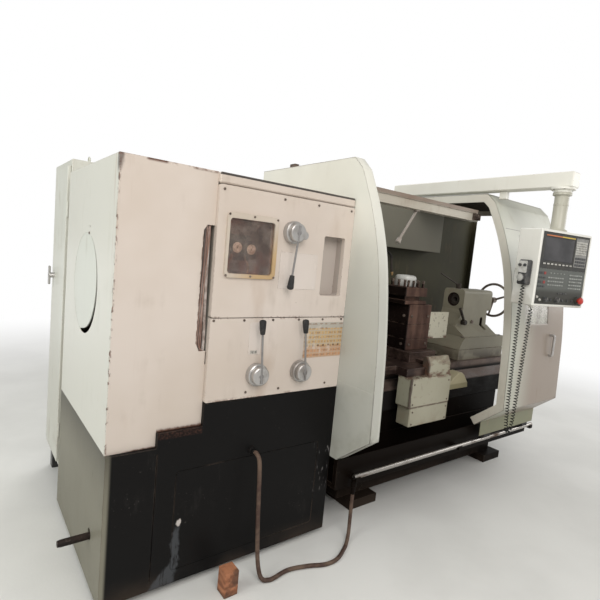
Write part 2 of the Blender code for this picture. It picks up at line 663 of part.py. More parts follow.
# Spindle through the headstock, its chuck and the three sliding jaws
def make_spindle():
    axis = (0.0, SPINDLE_Y, SPINDLE_Z)
    spindle = body("spindle_axis", (CHUCK_LEFT, SPINDLE_Y, SPINDLE_Z))
    nose = CHUCK_LEFT - SEAT
    profile = [(SPINDLE_BORE, nose), (0.12, nose), (0.12, nose - 0.025), (0.085, nose - 0.035),
               (0.085, HEAD_RIGHT + RUN), (SPINDLE_R, HEAD_RIGHT + RUN), (SPINDLE_R, END_LENGTH - 0.02),
               (0.10, END_LENGTH - 0.02), (0.10, END_LENGTH - 0.03), (0.09, END_LENGTH - 0.04),
               (0.10, END_LENGTH - 0.05), (0.10, END_LENGTH - 0.06), (0.05, END_LENGTH - 0.06),
               (0.05, END_LENGTH - 0.20), (SPINDLE_BORE, END_LENGTH - 0.20)]
    part("spindle", turned(profile, axis, "X", 24, ring=True), STEEL, spindle)

    front = CHUCK_LEFT + CHUCK_LENGTH
    profile = [(0.05, front), (CHUCK_R - 0.008, front), (CHUCK_R, front - 0.008), (CHUCK_R, CHUCK_LEFT + 0.03),
               (CHUCK_R - 0.012, CHUCK_LEFT + 0.02), (CHUCK_R - 0.012, CHUCK_LEFT), (0.05, CHUCK_LEFT)]
    chuck = turned(profile, axis, "X", 32, ring=True)
    slots = []
    for number in range(3):
        angle = math.radians(90 + 120 * number)
        turn = Matrix.Translation(axis) @ Matrix.Rotation(angle, 4, "X")
        slot = box((front - 0.03, front + 0.1), (0.0, CHUCK_R + 0.1), (-JAW_WIDTH / 2 - SEAT, JAW_WIDTH / 2 + SEAT))
        slot.data.transform(turn)
        slots.append(slot)
        foot = box((front - 0.03 + RUN, front + 0.01), (0.078, 0.16), (-JAW_WIDTH / 2, JAW_WIDTH / 2))
        low = box((front + RUN, front + 0.035), (0.078, 0.168), (-JAW_WIDTH / 2, JAW_WIDTH / 2), 0.003)
        high = box((front + 0.03, front + 0.065), (0.078, 0.118), (-JAW_WIDTH / 2, JAW_WIDTH / 2), 0.003)
        jaw = fuse(foot, low, high)
        jaw.data.transform(turn)
        carrier = body(f"jaw_{number + 1}_axis", (front, SPINDLE_Y, SPINDLE_Z), spindle)
        part(f"chuck_jaw_{number + 1}", jaw, STEEL, carrier)
    part("chuck_body", cut(chuck, *slots), STEEL, spindle)


make_spindle()


# Left guard: side wall with the hole for the spindle nose and a curved front strip
def make_left_guard():
    line = guard_line(BODY_DEPTH, (-0.08, TRAY_TOP + SEAT))
    foot = TRAY_TOP + SEAT + WELD
    wall_line = offset(line, WELD)[:-1] + [(-0.08, foot), (0.10, foot), (0.10, 0.95), (BODY_DEPTH - WELD, 0.95)]
    wall = prism(wall_line, (GUARD_X + WELD, GUARD_X + SHEET), "X",
                 [circle((SPINDLE_Y, SPINDLE_Z), GUARD_OPENING)])
    skin = prism(strip(line, SHEET), (GUARD_X, GUARD_X + GUARD_STRIP), "X")
    lug = box((GUARD_X + 0.004, GUARD_X + 0.04), (0.61, 0.67), (GUARD_ROOF - 0.002, GUARD_ROOF + 0.022))
    part("left_guard", fuse(wall, skin, lug), GREEN_WHITE)


make_left_guard()


# Rear guard: wall behind the bed with the long box under its top and the roof rail
def make_rear_guard():
    left = GUARD_X + SHEET + SEAT
    back = REAR_WALL_Y + REAR_WALL
    wall = box((left, REAR_RIGHT), (REAR_WALL_Y, back), (0.30, 2.185))
    duct = box((left, 3.10), (0.72, REAR_WALL_Y + 0.002), (1.79, 2.13))
    rail = box((left, REAR_RIGHT - 0.1), (REAR_WALL_Y - 0.045, back), (2.165, 2.185))
    fold = box((REAR_RIGHT - SHEET, REAR_RIGHT), (REAR_WALL_Y - 0.05, back), (0.30, 2.16))
    part("rear_guard", fuse(wall, duct, rail, fold), OLIVE)


make_rear_guard()


# Header beam over the work area: brown channel on a light beam, and the work lamp under it
def make_header():
    left = GUARD_X + SHEET + SEAT
    beam = box((left, 2.57), (0.03, 0.09), (2.02, 2.078))
    channel = [(0.022, 2.10), (0.022, 2.074), (0.098, 2.074), (0.098, 2.10), (0.094, 2.10), (0.094, 2.08),
               (0.026, 2.08), (0.026, 2.10)]
    top = Vector((1.906, 0.06, 2.022))
    low = Vector((1.754, 0.06, 1.794))
    foot = rod(top, top - Vector((0.0, 0.0, 0.012)), 0.022, 16)
    stem = rod(top - Vector((0.0, 0.0, 0.008)), low, 0.008, 10)
    head = rod(low + (top - low) * 0.12, low, 0.014, 16, 0.018)
    part("header_beam", fuse(beam, prism(channel, (left, 2.55), "X"), foot, stem, head), WHITE)


make_header()


# Sliding door: curved sheet with side flanges, ribbed roof, window and rail shoes
DOOR_FOOT = (-0.115, 0.50)
WINDOW_SPAN = (2.84, 3.19)
WINDOW_HEIGHT = (1.30, GUARD_ROOF - 0.285)


def make_door():
    door = body("door_axis", (DOOR_LEFT, RAIL_Y, RAIL_Z))
    line = guard_line(ROOF_BACK, DOOR_FOOT)
    skin = prism(strip(line, SHEET), (DOOR_LEFT, DOOR_RIGHT), "X")
    inner_line = guard_line(ROOF_BACK - WELD, (DOOR_FOOT[0] - WELD, DOOR_FOOT[1] + WELD))
    flanges = [prism(strip(inner_line, DOOR_FLANGE, WELD), (x, x + SHEET), "X")
               for x in (DOOR_LEFT + WELD, DOOR_RIGHT - SHEET - WELD)]
    count = 7
    ribs = []
    for i in range(count):
        x = DOOR_LEFT + DOOR_LENGTH * (i + 1) / (count + 1)
        ribs.append(box((x - 0.0015, x + 0.0015), (0.03, ROOF_BACK - 0.004), (GUARD_ROOF - 0.03, GUARD_ROOF - 0.002)))
    shoes = []
    for x in (DOOR_LEFT + 0.08, DOOR_RIGHT - 0.16):
        shoes.append(box((x, x + 0.08), (RAIL_Y - 0.024, RAIL_Y + 0.022), (RAIL_Z + 0.004, RAIL_Z + 0.08), 0.003))
        shoes.append(box((x, x + 0.08), (ROOF_BACK - 0.01, ROOF_BACK + 0.04), (2.186 + RUN, GUARD_ROOF - 0.001)))
    lip = box((DOOR_LEFT + 0.004, DOOR_RIGHT - 0.004), (RAIL_Y - 0.025, RAIL_Y - 0.022), (RAIL_Z + 0.045, 0.5435))
    hole = box(WINDOW_SPAN, (-0.5, -0.05), WINDOW_HEIGHT)
    rail_space = rod((DOOR_LEFT - 0.1, RAIL_Y, RAIL_Z), (DOOR_RIGHT + 0.1, RAIL_Y, RAIL_Z), RAIL_R + RUN, 20)
    handle_y = -0.34
    posts = [rod((3.235, handle_y, z), (3.235, handle_y + 0.04, z), 0.008, 12) for z in (1.05, 1.21)]
    grip = rod((3.235, handle_y, 1.02), (3.235, handle_y, 1.24), 0.011, 14)
    trim = prism(offset(line, 0.002) + [(0.3, 0.5), (0.3, 2.2)], (3.1, 3.4), "X")
    handle = cut(fuse(grip, *posts), trim)
    shell = fuse(skin, *flanges, *ribs, lip, *shoes, handle)
    part("door_shell", cut(shell, hole, rail_space), GREEN_WHITE, door)

    pane_line = [p for p in guard_line(ROOF_BACK, DOOR_FOOT)
                 if WINDOW_HEIGHT[0] - 0.10 < p[1] < WINDOW_HEIGHT[1] + 0.15]
    pane = prism(strip(pane_line, SHEET + SEAT + 0.004, SHEET + SEAT),
                 (WINDOW_SPAN[0] - 0.02, WINDOW_SPAN[1] + 0.02), "X")
    part("door_window", pane, GLASS, door)


make_door()


# Carriage on the ways: saddle, apron and front cover
def make_carriage():
    carriage = body("carriage_axis", (SADDLE_LEFT, BED_FRONT, WAY_TOP))
    middle = (SLIDE_LEFT + SLIDE_RIGHT) / 2
    plan = [(SADDLE_LEFT, 0.10), (1.93, 0.10), (1.93, 0.0), (SADDLE_RIGHT, 0.0), (SADDLE_RIGHT, 0.32),
            (SLIDE_RIGHT - 0.03, 0.36), (SLIDE_RIGHT - 0.03, 0.60), (SADDLE_RIGHT, 0.64), (SADDLE_RIGHT, 0.80),
            (SADDLE_LEFT, 0.80), (SADDLE_LEFT, 0.64), (1.95, 0.58), (1.95, 0.38), (SADDLE_LEFT, 0.32)]
    plate = prism(plan, (SADDLE_BOTTOM, SADDLE_TOP), "Z")
    tongue = [(middle - 0.07, SADDLE_TOP - 0.01), (middle + 0.07, SADDLE_TOP - 0.01), (middle + 0.07, SADDLE_TOP),
              (middle + 0.085, SADDLE_TOP + DOVETAIL), (middle - 0.085, SADDLE_TOP + DOVETAIL),
              (middle - 0.07, SADDLE_TOP)]
    slide_way = prism(tongue, (0.06, 0.80), "Y")
    part("saddle", fuse(plate, slide_way), BROWN_STEEL, carriage)

    upper = box((1.93, 2.37), (-0.05, 0.076), (0.694, SADDLE_BOTTOM - SEAT), 0.006)
    lower = box((1.95, 2.37), (-0.046, 0.07), (0.56, 0.70), 0.006)
    side = [(-0.035, SADDLE_BOTTOM - 0.02), (0.0 - SEAT, SADDLE_BOTTOM - 0.02), (0.0 - SEAT, SADDLE_TOP + SEAT),
            (0.026, SADDLE_TOP + SEAT), (0.026, 1.0), (0.012, 1.03), (-0.005, 1.03), (-0.03, 0.98)]
    part("apron", fuse(upper, lower, prism(side, (2.12, SADDLE_RIGHT - 0.035), "X")), WHITE, carriage)

    slide = body("cross_slide_axis", (middle, TURRET_Y, SLIDE_BOTTOM), carriage)
    groove = [(x + RUN if x > middle else x - RUN, z + (RUN if z > SADDLE_TOP else 0.0)) for x, z in tongue]
    block = box((SLIDE_LEFT, SLIDE_RIGHT), (0.13, 0.72), (SLIDE_BOTTOM, SLIDE_TOP), 0.004)
    part("cross_slide", cut(block, prism(groove, (0.0, 1.0), "Y")), BROWN_STEEL, slide)

    column = box((COLUMN_LEFT, COLUMN_RIGHT), (0.20, 0.50), (SLIDE_TOP + SEAT, COLUMN_TOP), 0.004)
    seams = []
    for z in (SLIDE_TOP + 0.08, SLIDE_TOP + 0.19):
        seams.append(prism(rounded((0.0, 3.0), (0.0, 1.0), 0.01), (z, z + 0.005), "Z",
                           [rounded((COLUMN_LEFT + 0.004, COLUMN_RIGHT - 0.004), (0.204, 0.496), 0.004)]))
    part("tool_column", cut(column, *seams), BROWN_STEEL, slide)

    sheet = box((COLUMN_RIGHT + SEAT, 2.61), (0.205, 0.208), (1.11, 1.316))
    flange = box((COLUMN_RIGHT + SEAT, COLUMN_RIGHT + SEAT + SHEET), (0.205, 0.26), (1.13, 1.30))
    part("guard_plate", fuse(sheet, flange), WHITE, slide)

    hose_route = [(2.16, 0.60, SLIDE_TOP + SEAT), (2.16, 0.60, 1.25), (2.16, 0.595, 1.50), (2.155, 0.57, 1.66),
                  (2.145, 0.50, 1.735), (2.12, 0.43, 1.71), (2.10, 0.40, 1.64), (2.10, 0.385, 1.575)]
    part("coolant_hose", tube(smooth(hose_route, 2), 0.009), RUBBER, slide)
    make_turret(slide)


def make_turret(slide):
    turret = body("turret_axis", (TURRET_X, TURRET_Y, COLUMN_TOP), slide)
    bottom = COLUMN_TOP + RUN
    top = bottom + TURRET_HEIGHT
    half = TURRET_SIDE / 2
    core = half - 0.035
    x = (TURRET_X - half, TURRET_X + half)
    y = (TURRET_Y - half, TURRET_Y + half)
    block = box(x, y, (bottom, top), 0.004)
    slot = prism(rounded((x[0] - 0.1, x[1] + 0.1), (y[0] - 0.1, y[1] + 0.1), 0.01), (bottom + 0.028, bottom + 0.06),
                 "Z", [rounded((TURRET_X - core, TURRET_X + core), (TURRET_Y - core, TURRET_Y + core), 0.006)])
    screws = []
    for side in range(4):
        turn = Matrix.Rotation(side * math.pi / 2, 4, "Z")
        for step in (-0.085, -0.028, 0.028, 0.085):
            place = turn @ Vector((step, -half + 0.017, 0.0)) + Vector((TURRET_X, TURRET_Y, 0.0))
            screws.append(rod((place.x, place.y, top - 0.01), (place.x, place.y, top + 0.03), 0.009, 6))
    part("turret", fuse(cut(block, slot), *screws), BROWN_STEEL, turret)
    cap = turned([(0.0, top + 0.085), (0.055, top + 0.085), (0.075, top + 0.075), (0.080, top + 0.06),
                  (0.080, top + SEAT), (0.0, top + SEAT)], (TURRET_X, TURRET_Y, 0.0), "Z", 32)
    part("turret_cap", cap, WHITE, turret)


make_carriage()


# Tailstock on the ways, with its quill, handwheel and two clamp levers
def make_tailstock():
    tail = body("tailstock_axis", (TAIL_LEFT, BED_FRONT, WAY_TOP))
    base_top = 1.09
    outline = [(TAIL_LEFT, SADDLE_BOTTOM), (TAIL_RIGHT, SADDLE_BOTTOM), (TAIL_RIGHT, base_top),
               (TAIL_LEFT + 0.07, base_top), (TAIL_LEFT + 0.03, 1.05), (TAIL_LEFT, 0.99)]
    base = prism(outline, (0.23, 0.71), "Y")
    seam = prism(rounded((2.0, 4.0), (0.0, 1.0), 0.01), (0.985, 0.989), "Z",
                 [rounded((TAIL_LEFT + 0.004, TAIL_RIGHT - 0.004), (0.234, 0.706), 0.004)])
    part("tailstock_base", cut(base, seam), GREY, tail)

    web = [(TAIL_LEFT + 0.09, base_top + SEAT), (3.45, base_top + SEAT), (3.43, 1.18), (3.42, 1.34),
           (HOUSING_LEFT + 0.01, 1.34), (3.03, 1.27), (2.97, 1.19)]
    body_web = prism(web, (0.365, 0.575), "Y")
    low_flare = prism([(0.25, base_top + SEAT), (0.69, base_top + SEAT), (0.63, 1.13), (0.575, 1.17), (0.365, 1.17),
                       (0.31, 1.13)], (TAIL_LEFT + 0.09, 3.45), "X")
    housing = prism(rounded((0.365, 0.575), (1.295, 1.485), 0.03), (HOUSING_LEFT, HOUSING_RIGHT), "X")
    boss = rod((HOUSING_RIGHT - 0.01, SPINDLE_Y, SPINDLE_Z), (HOUSING_RIGHT + 0.07, SPINDLE_Y, SPINDLE_Z), 0.045, 24,
               0.035)
    quill_bore = rod((HOUSING_LEFT - 0.1, SPINDLE_Y, SPINDLE_Z), (HOUSING_RIGHT - 0.03, SPINDLE_Y, SPINDLE_Z),
                     QUILL_R + RUN, 28)
    mouth = rod((HOUSING_LEFT - 0.1, SPINDLE_Y, SPINDLE_Z), (HOUSING_LEFT + 0.012, SPINDLE_Y, SPINDLE_Z), 0.06, 28)
    shaft_bore = rod((HOUSING_RIGHT - 0.1, SPINDLE_Y, SPINDLE_Z), (HOUSING_RIGHT + 0.1, SPINDLE_Y, SPINDLE_Z),
                     0.0122 + RUN, 20)
    window = prism(rounded((3.325, 3.367), (1.13, 1.24), 0.018), (0.30, 0.40), "Y")
    part("tailstock_body", cut(fuse(body_web, low_flare, housing, boss), quill_bore, mouth, shaft_bore, window),
         GREY, tail)

    quill_axis = body("quill_axis", (HOUSING_LEFT, SPINDLE_Y, SPINDLE_Z), tail)
    profile = [(0.0, 0.35), (QUILL_R, 0.35), (QUILL_R, 0.003), (QUILL_R - 0.003, 0.0), (0.022, 0.0), (0.018, 0.08),
               (0.0, 0.08)]
    part("quill", turned(profile, (HOUSING_LEFT + 0.02, SPINDLE_Y, SPINDLE_Z), "X", 28), STEEL, quill_axis)

    wheel_axis = body("handwheel_axis", (WHEEL_X, SPINDLE_Y, SPINDLE_Z), tail)
    ring = circle((SPINDLE_Y, SPINDLE_Z), WHEEL_R, 32)
    rim_profile = [(WHEEL_R + 0.012 * math.cos(t), 0.012 * math.sin(t))
                   for t in [math.pi / 2 - i * math.pi / 3 for i in range(6)]]
    rim = turned(rim_profile, (WHEEL_X, SPINDLE_Y, SPINDLE_Z), "X", 30, ring=True)
    hub = turned([(0.0, 0.03), (0.02, 0.03), (0.028, 0.02), (0.028, -0.03), (0.0122, -0.035),
                  (0.0122, HOUSING_RIGHT - 0.025 - WHEEL_X), (0.0, HOUSING_RIGHT - 0.025 - WHEEL_X)],
                 (WHEEL_X, SPINDLE_Y, SPINDLE_Z), "X", 16)
    spokes = []
    for number in range(3):
        y, z = ring[3 + number * 11 if number else 3]
        spokes.append(rod((WHEEL_X, SPINDLE_Y, SPINDLE_Z), (WHEEL_X, y, z), 0.011, 10, 0.009))
    y, z = ring[19]
    crank = rod((WHEEL_X, y, z), (WHEEL_X + 0.09, y, z), 0.010, 12)
    part("tail_handwheel", fuse(rim, hub, *spokes, crank), STEEL, wheel_axis)

    lock = (3.09, SPINDLE_Y, 1.485 + RUN)
    lock_axis = body("quill_lock_axis", lock, tail)
    lock_hub = turned([(0.0, 0.045), (0.018, 0.045), (0.022, 0.04), (0.022, 0.0), (0.0, 0.0)], lock, "Z", 16)
    lock_rod = rod((3.09, SPINDLE_Y, 1.517), (2.81, SPINDLE_Y, 1.612), 0.006, 10)
    part("quill_lock", fuse(lock_hub, lock_rod), BROWN_STEEL, lock_axis)

    clamp = (3.051, 0.365 - RUN, 1.20)
    clamp_axis = body("clamp_lever_axis", clamp, tail)
    clamp_hub = turned([(0.0, 0.04), (0.02, 0.04), (0.024, 0.034), (0.024, 0.0), (0.0, 0.0)], clamp, "-Y", 16)
    clamp_rod = rod((3.051, 0.34, 1.20), (2.933, 0.32, 1.325), 0.010, 12, 0.013)
    part("clamp_lever", fuse(clamp_hub, clamp_rod), BROWN_STEEL, clamp_axis)


make_tailstock()


# Overhead arm: post behind the rear guard, beam over the door and the swivel flange
def make_arm():
    x = (ARM_X - ARM_SIDE / 2, ARM_X + ARM_SIDE / 2)
    post_y = REAR_WALL_Y + REAR_WALL + SEAT
    top = ARM_BOTTOM + ARM_SIDE
    beam = box(x, (-0.56, post_y + ARM_SIDE), (ARM_BOTTOM, top), 0.006)
    post = box(x, (post_y, post_y + ARM_SIDE), (0.01, top - 0.01), 0.006)
    foot = box((x[0] - 0.07, x[1] + 0.07), (post_y, post_y + ARM_SIDE + 0.07), (0.0, 0.016))
    flange = turned([(0.0, 0.002), (0.075, 0.002), (0.075, -0.012), (0.055, -0.016), (0.055, -0.03), (0.0, -0.03)],
                    (ARM_X, PENDANT_Y, ARM_BOTTOM), "Z", 28)
    buffer = box((ARM_X - 0.02, ARM_X + 0.02), (-0.10, -0.05), (GUARD_ROOF - 0.035, ARM_BOTTOM + 0.01))
    part("pendant_arm", fuse(beam, post, foot, flange, buffer), WHITE)


make_arm()


# Pendant that swivels under the arm: column, case, screen, keys, knobs and hand unit
def make_pendant():
    pendant = body("pendant_axis", (ARM_X, PENDANT_Y, PENDANT_TOP), turn=PENDANT_TURN)
    top = ARM_BOTTOM - 0.03 - RUN
    column = turned([(0.0, top), (0.058, top), (0.058, top - 0.018), (0.044, top - 0.024), (0.044, PENDANT_TOP + 0.02),
                     (0.06, PENDANT_TOP + 0.012), (0.06, PENDANT_TOP + SEAT), (0.0, PENDANT_TOP + SEAT)],
                    (ARM_X, PENDANT_Y, 0.0), "Z", 28)
    part("pendant_column", column, WHITE, pendant)

    x = (ARM_X - PENDANT_WIDTH / 2, ARM_X + PENDANT_WIDTH / 2)
    y = (PENDANT_Y - PENDANT_DEPTH / 2, PENDANT_Y + PENDANT_DEPTH / 2)
    rim = 0.015
    inset = 0.012
    split = PENDANT_BOTTOM + 0.245
    case = box(x, y, (PENDANT_BOTTOM, PENDANT_TOP), 0.006)
    gland = rod((CORD_BACK[0], CORD_BACK[1], PENDANT_BOTTOM - 0.018),
                (CORD_BACK[0], CORD_BACK[1], PENDANT_BOTTOM + 0.01), 0.016)
    face_x = (x[0] + rim, x[1] - rim)
    recess = box(face_x, (y[0] - 0.1, y[0] + inset), (PENDANT_BOTTOM + rim, PENDANT_TOP - rim))
    part("pendant_case", cut(fuse(case, gland), recess), WHITE, pendant)

    inner_x = (face_x[0] + SEAT, face_x[1] - SEAT)
    plate_y = (y[0] + 0.004, y[0] + inset - SEAT)
    screen = box(inner_x, plate_y, (split + SEAT, PENDANT_TOP - rim - SEAT))
    glass = prism(rounded((face_x[0] + 0.035, face_x[0] + 0.335), (split + 0.05, PENDANT_TOP - rim - 0.03), 0.006),
                  (plate_y[0] - 0.1, plate_y[0] + 0.004), "Y")
    part("screen_unit", cut(screen, glass), PANEL_GREY, pendant)
    stop = (face_x[1] - 0.05, plate_y[0] - SEAT, PENDANT_BOTTOM + rim + 0.035)
    keys = box(inner_x, plate_y, (PENDANT_BOTTOM + rim + SEAT, split - SEAT))
    collar = turned([(0.014, 0.012), (0.026, 0.012), (0.026, -0.002), (0.014, -0.002)], stop, "-Y", 20, ring=True)
    part("control_panel", fuse(keys, collar), PANEL_GREY, pendant)

    for number, offset_x in enumerate((0.10, 0.22), 1):
        place = (face_x[0] + offset_x, plate_y[0] - SEAT, PENDANT_BOTTOM + rim + 0.03)
        knob_axis = body(f"knob_{number}_axis", place, pendant)
        knob = turned([(0.0, 0.022), (0.012, 0.022), (0.014, 0.019), (0.015, 0.004), (0.019, 0.003), (0.019, 0.0),
                       (0.0, 0.0)], place, "-Y", 18)
        pointer = box((place[0] - 0.002, place[0] + 0.002), (place[1] - 0.024, place[1] - 0.01),
                      (place[2], place[2] + 0.016))
        part(f"selector_knob_{number}", fuse(knob, pointer), PLASTIC, knob_axis)

    stop_axis = body("stop_button_axis", stop, pendant)
    button = turned([(0.0, 0.042), (0.012, 0.041), (0.022, 0.036), (0.024, 0.028), (0.022, 0.022), (0.0134, 0.020),
                     (0.0134, 0.008), (0.0, 0.008)], stop, "-Y", 24)
    part("stop_button", button, RED, stop_axis)

    out = x[1] + 0.035
    grip_y = PENDANT_Y - 0.02
    half = [(x[1] + SEAT, 0.0), (x[1] + 0.011, 0.0), (out - 0.012, 0.0), (out, 0.012), (out, 0.06)]
    grip_top, grip_low = PENDANT_TOP - 0.095, PENDANT_BOTTOM + 0.16
    route = [(u, grip_y, grip_top - drop) for u, drop in half]
    route += [(u, grip_y, grip_low + drop) for u, drop in half[::-1]]
    part("grab_handle", tube(smooth(route, 2), 0.007), CHROME, pendant)

    unit_x = (x[0] - 0.05, x[0] - SEAT)
    unit_y = (PENDANT_Y - 0.05, PENDANT_Y + 0.02)
    unit = box(unit_x, unit_y, (UNIT_FOOT, UNIT_FOOT + 0.16), 0.008)
    dial = turned([(0.0, 0.016), (0.024, 0.016), (0.026, 0.013), (0.026, -0.001), (0.0, -0.001)],
                  (unit_x[0], PENDANT_Y - 0.015, UNIT_FOOT + 0.045), "-X", 20)
    keys = [turned([(0.0, 0.012), (0.009, 0.012), (0.010, -0.001), (0.0, -0.001)],
                   (unit_x[0], PENDANT_Y - 0.015 + side, UNIT_FOOT + 0.125), "-X", 12) for side in (-0.018, 0.018)]
    part("hand_unit", fuse(unit, dial, *keys), PLASTIC, pendant)
    make_hand_cord(pendant)


# Ends of the curly cord before the pendant is turned: under the hand unit and under the case
CORD_START = (ARM_X - PENDANT_WIDTH / 2 - 0.025, PENDANT_Y - 0.015)
CORD_BACK = (ARM_X - PENDANT_WIDTH / 2 + 0.085, PENDANT_Y - 0.015)
CORD_R = 0.013
CORD_LOW = 0.605
UNIT_FOOT = PENDANT_BOTTOM + 0.13


def make_hand_cord(pendant):
    x0, y0 = CORD_START
    x1, y1 = CORD_BACK
    gland = PENDANT_BOTTOM - 0.018
    route = [
        (x0, y0, UNIT_FOOT - SEAT), (x0, y0, UNIT_FOOT - 0.10), (x0 + 0.002, y0, UNIT_FOOT - 0.30),
        (x0 + 0.008, y0, CORD_LOW + 0.445), (x0 + 0.018, y0, CORD_LOW + 0.195), (x0 + 0.028, y0, CORD_LOW + 0.055),
        (x0 + 0.045, y0, CORD_LOW), (x0 + 0.068, y1, CORD_LOW), (x0 + 0.082, y1, CORD_LOW + 0.055),
        (x0 + 0.090, y1, CORD_LOW + 0.195), (x0 + 0.099, y1, CORD_LOW + 0.445), (x1 - 0.003, y1, gland - 0.172),
        (x1, y1, gland - 0.062), (x1, y1, gland - 0.032), (x1, y1, gland - SEAT),
    ]
    part("hand_unit_cord", tube(smooth(route, 3), CORD_R), RUBBER, pendant)


make_pendant()


# Electrical cabinet behind the gear end, on its stand, with one hinged door
def make_cabinet():
    x, y, z = CABINET_X, CABINET_Y, CABINET_Z
    case = box(x, y, z, 0.004)
    spacers = [box((0.45, 0.55), (BODY_DEPTH + SEAT, y[0] + 0.002), (low, low + 0.1)) for low in (0.45, 1.75)]
    eyes = []
    for place in (0.15, 0.97):
        eyes.append(rod((place, 1.25, z[1] - 0.001), (place, 1.25, z[1] + 0.014), 0.016, 14))
        ring = [(0.018 + 0.006 * math.cos(t), 0.006 * math.sin(t))
                for t in [math.pi / 2 - i * math.pi * 0.4 for i in range(5)]]
        eyes.append(turned(ring, (place, 1.25, z[1] + 0.033), "X", 12, ring=True))
    stand = box((x[0] + 0.03, x[1] - 0.03), (y[0] + 0.03, y[1] - 0.03), (0.0, z[0] + 0.01))
    tunnel = box((x[0] + 0.10, x[1] - 0.10), (y[0] - 0.1, y[1] + 0.1), (-0.1, z[0] - 0.05))
    side_tunnel = box((x[0] - 0.1, x[1] + 0.1), (y[0] + 0.10, y[1] - 0.10), (-0.1, z[0] - 0.05))
    part("cabinet", fuse(case, cut(stand, tunnel, side_tunnel), *spacers, *eyes), WHITE)

    hinge = (x[0] - 0.0115, y[0] + 0.0125, 1.15)
    door_axis = body("cabinet_door_axis", hinge)
    slab = box((x[0] - 0.0195, x[0] - SEAT), (y[0] + 0.014, 1.45), (z[0] + 0.04, z[1] - 0.04), 0.003)
    knuckles = [rod((hinge[0], hinge[1], low), (hinge[0], hinge[1], low + 0.09), 0.0078, 12) for low in (0.40, 1.75)]
    part("cabinet_door", fuse(slab, *knuckles), WHITE, door_axis)
    place = (x[0] - 0.0195 - RUN, 1.40, 1.376)
    handle_axis = body("cabinet_handle_axis", place, door_axis)
    boss = turned([(0.0, 0.03), (0.012, 0.03), (0.016, 0.024), (0.018, 0.0), (0.0, 0.0)], place, "-X", 16)
    bar = box((place[0] - 0.034, place[0] - 0.020), (1.39, 1.41), (1.376 - 0.06, 1.376 + 0.06), 0.004)
    part("cabinet_handle", fuse(boss, bar), STEEL, handle_axis)


make_cabinet()


# Hose that lies on the floor between the plinth's gland and the fitting under the rail
FLOOR_HOSE_R = 0.011


def make_floor_hose():
    x, y, z = HOSE_END
    low = FLOOR_HOSE_R + 2 * SEAT
    route = [
        (GLAND[0], GLAND[1] - 0.03 - SEAT, GLAND[2]), (GLAND[0], -0.058, GLAND[2]), (GLAND[0], -0.066, GLAND[2]),
        (0.730, -0.098, 0.60), (0.728, -0.115, 0.50), (0.727, -0.135, 0.30), (0.728, -0.158, 0.12),
        (0.733, -0.182, 0.04), (0.745, -0.200, 0.0155), (0.768, -0.210, low), (0.80, -0.214, low),
        (0.90, -0.201, low), (1.007, -0.227, low), (1.108, -0.266, low), (1.195, -0.262, low),
        (1.29, -0.213, low), (1.335, -0.182, 0.0145), (1.375, -0.150, 0.038), (1.396, -0.130, 0.10),
        (x, y, 0.18), (x, y, 0.24), (x, y, 0.255), (x, y, z - SEAT),
    ]
    part("floor_hose", tube(smooth(route, 3), FLOOR_HOSE_R), HOSE)


make_floor_hose()


# The finished machine stands over its origin, cords left out of the measure
def centre_machine(cords):
    bpy.context.view_layer.update()
    lows, highs = [], []
    for piece in machine.objects:
        if piece.type != "MESH" or piece.name in cords:
            continue
        corners = [piece.matrix_world @ Vector(corner) for corner in piece.bound_box]
        lows.append([min(corner[i] for corner in corners) for i in range(2)])
        highs.append([max(corner[i] for corner in corners) for i in range(2)])
    shift = [-(min(low[i] for low in lows) + max(high[i] for high in highs)) / 2 for i in range(2)]
    for piece in machine.objects:
        if not piece.parent:
            piece.location.x += shift[0]
            piece.location.y += shift[1]
    print("moved by", [round(value, 6) for value in shift])


centre_machine(("floor_hose", "hand_unit_cord"))
bpy.data.collections.remove(shapes)
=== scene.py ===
"""CNC turning lathe as it stands in a workshop: worn, repainted and oily.

Metres, Z up. The pieces follow the order in which the machine is put together. Places are
measured, as on the machine, from the left end of the end cover, its front and the floor.
"""

import math

import bmesh
import bpy
import numpy as np
from mathutils import Matrix


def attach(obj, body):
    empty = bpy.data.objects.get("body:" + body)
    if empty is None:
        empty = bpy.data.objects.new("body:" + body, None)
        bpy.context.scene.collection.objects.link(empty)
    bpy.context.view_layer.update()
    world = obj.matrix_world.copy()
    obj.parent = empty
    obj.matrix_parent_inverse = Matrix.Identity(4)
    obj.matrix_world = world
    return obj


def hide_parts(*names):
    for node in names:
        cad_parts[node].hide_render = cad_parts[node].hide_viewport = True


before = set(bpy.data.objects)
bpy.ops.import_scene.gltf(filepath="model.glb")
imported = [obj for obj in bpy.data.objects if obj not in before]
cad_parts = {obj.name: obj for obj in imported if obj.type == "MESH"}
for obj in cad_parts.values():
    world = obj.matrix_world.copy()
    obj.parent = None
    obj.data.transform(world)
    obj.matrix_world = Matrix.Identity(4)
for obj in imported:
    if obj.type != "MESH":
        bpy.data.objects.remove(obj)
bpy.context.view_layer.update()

# The view is from the front left corner, a little above shoulder height, and tips slightly
# clockwise. The floor is pale and runs out into a white surround.
CORNER = np.array((-1.822, -0.479003, 0.0))
UP = (0.0, 0.0, 1.0)
RIGHT = (1.0, 0.0, 0.0)
EYE = np.array((-0.518, -1.95, 1.661)) + CORNER
YAW, PITCH, ROLL = np.radians((37.28, -5.71, 5.34))
LENS = 27.465
forward = np.array((np.sin(YAW) * np.cos(PITCH), np.cos(YAW) * np.cos(PITCH), np.sin(PITCH)))
level = np.array((np.cos(YAW), -np.sin(YAW), 0.0))
upright = np.cross(level, forward)
across = np.cos(ROLL) * level + np.sin(ROLL) * upright
above = np.cos(ROLL) * upright - np.sin(ROLL) * level

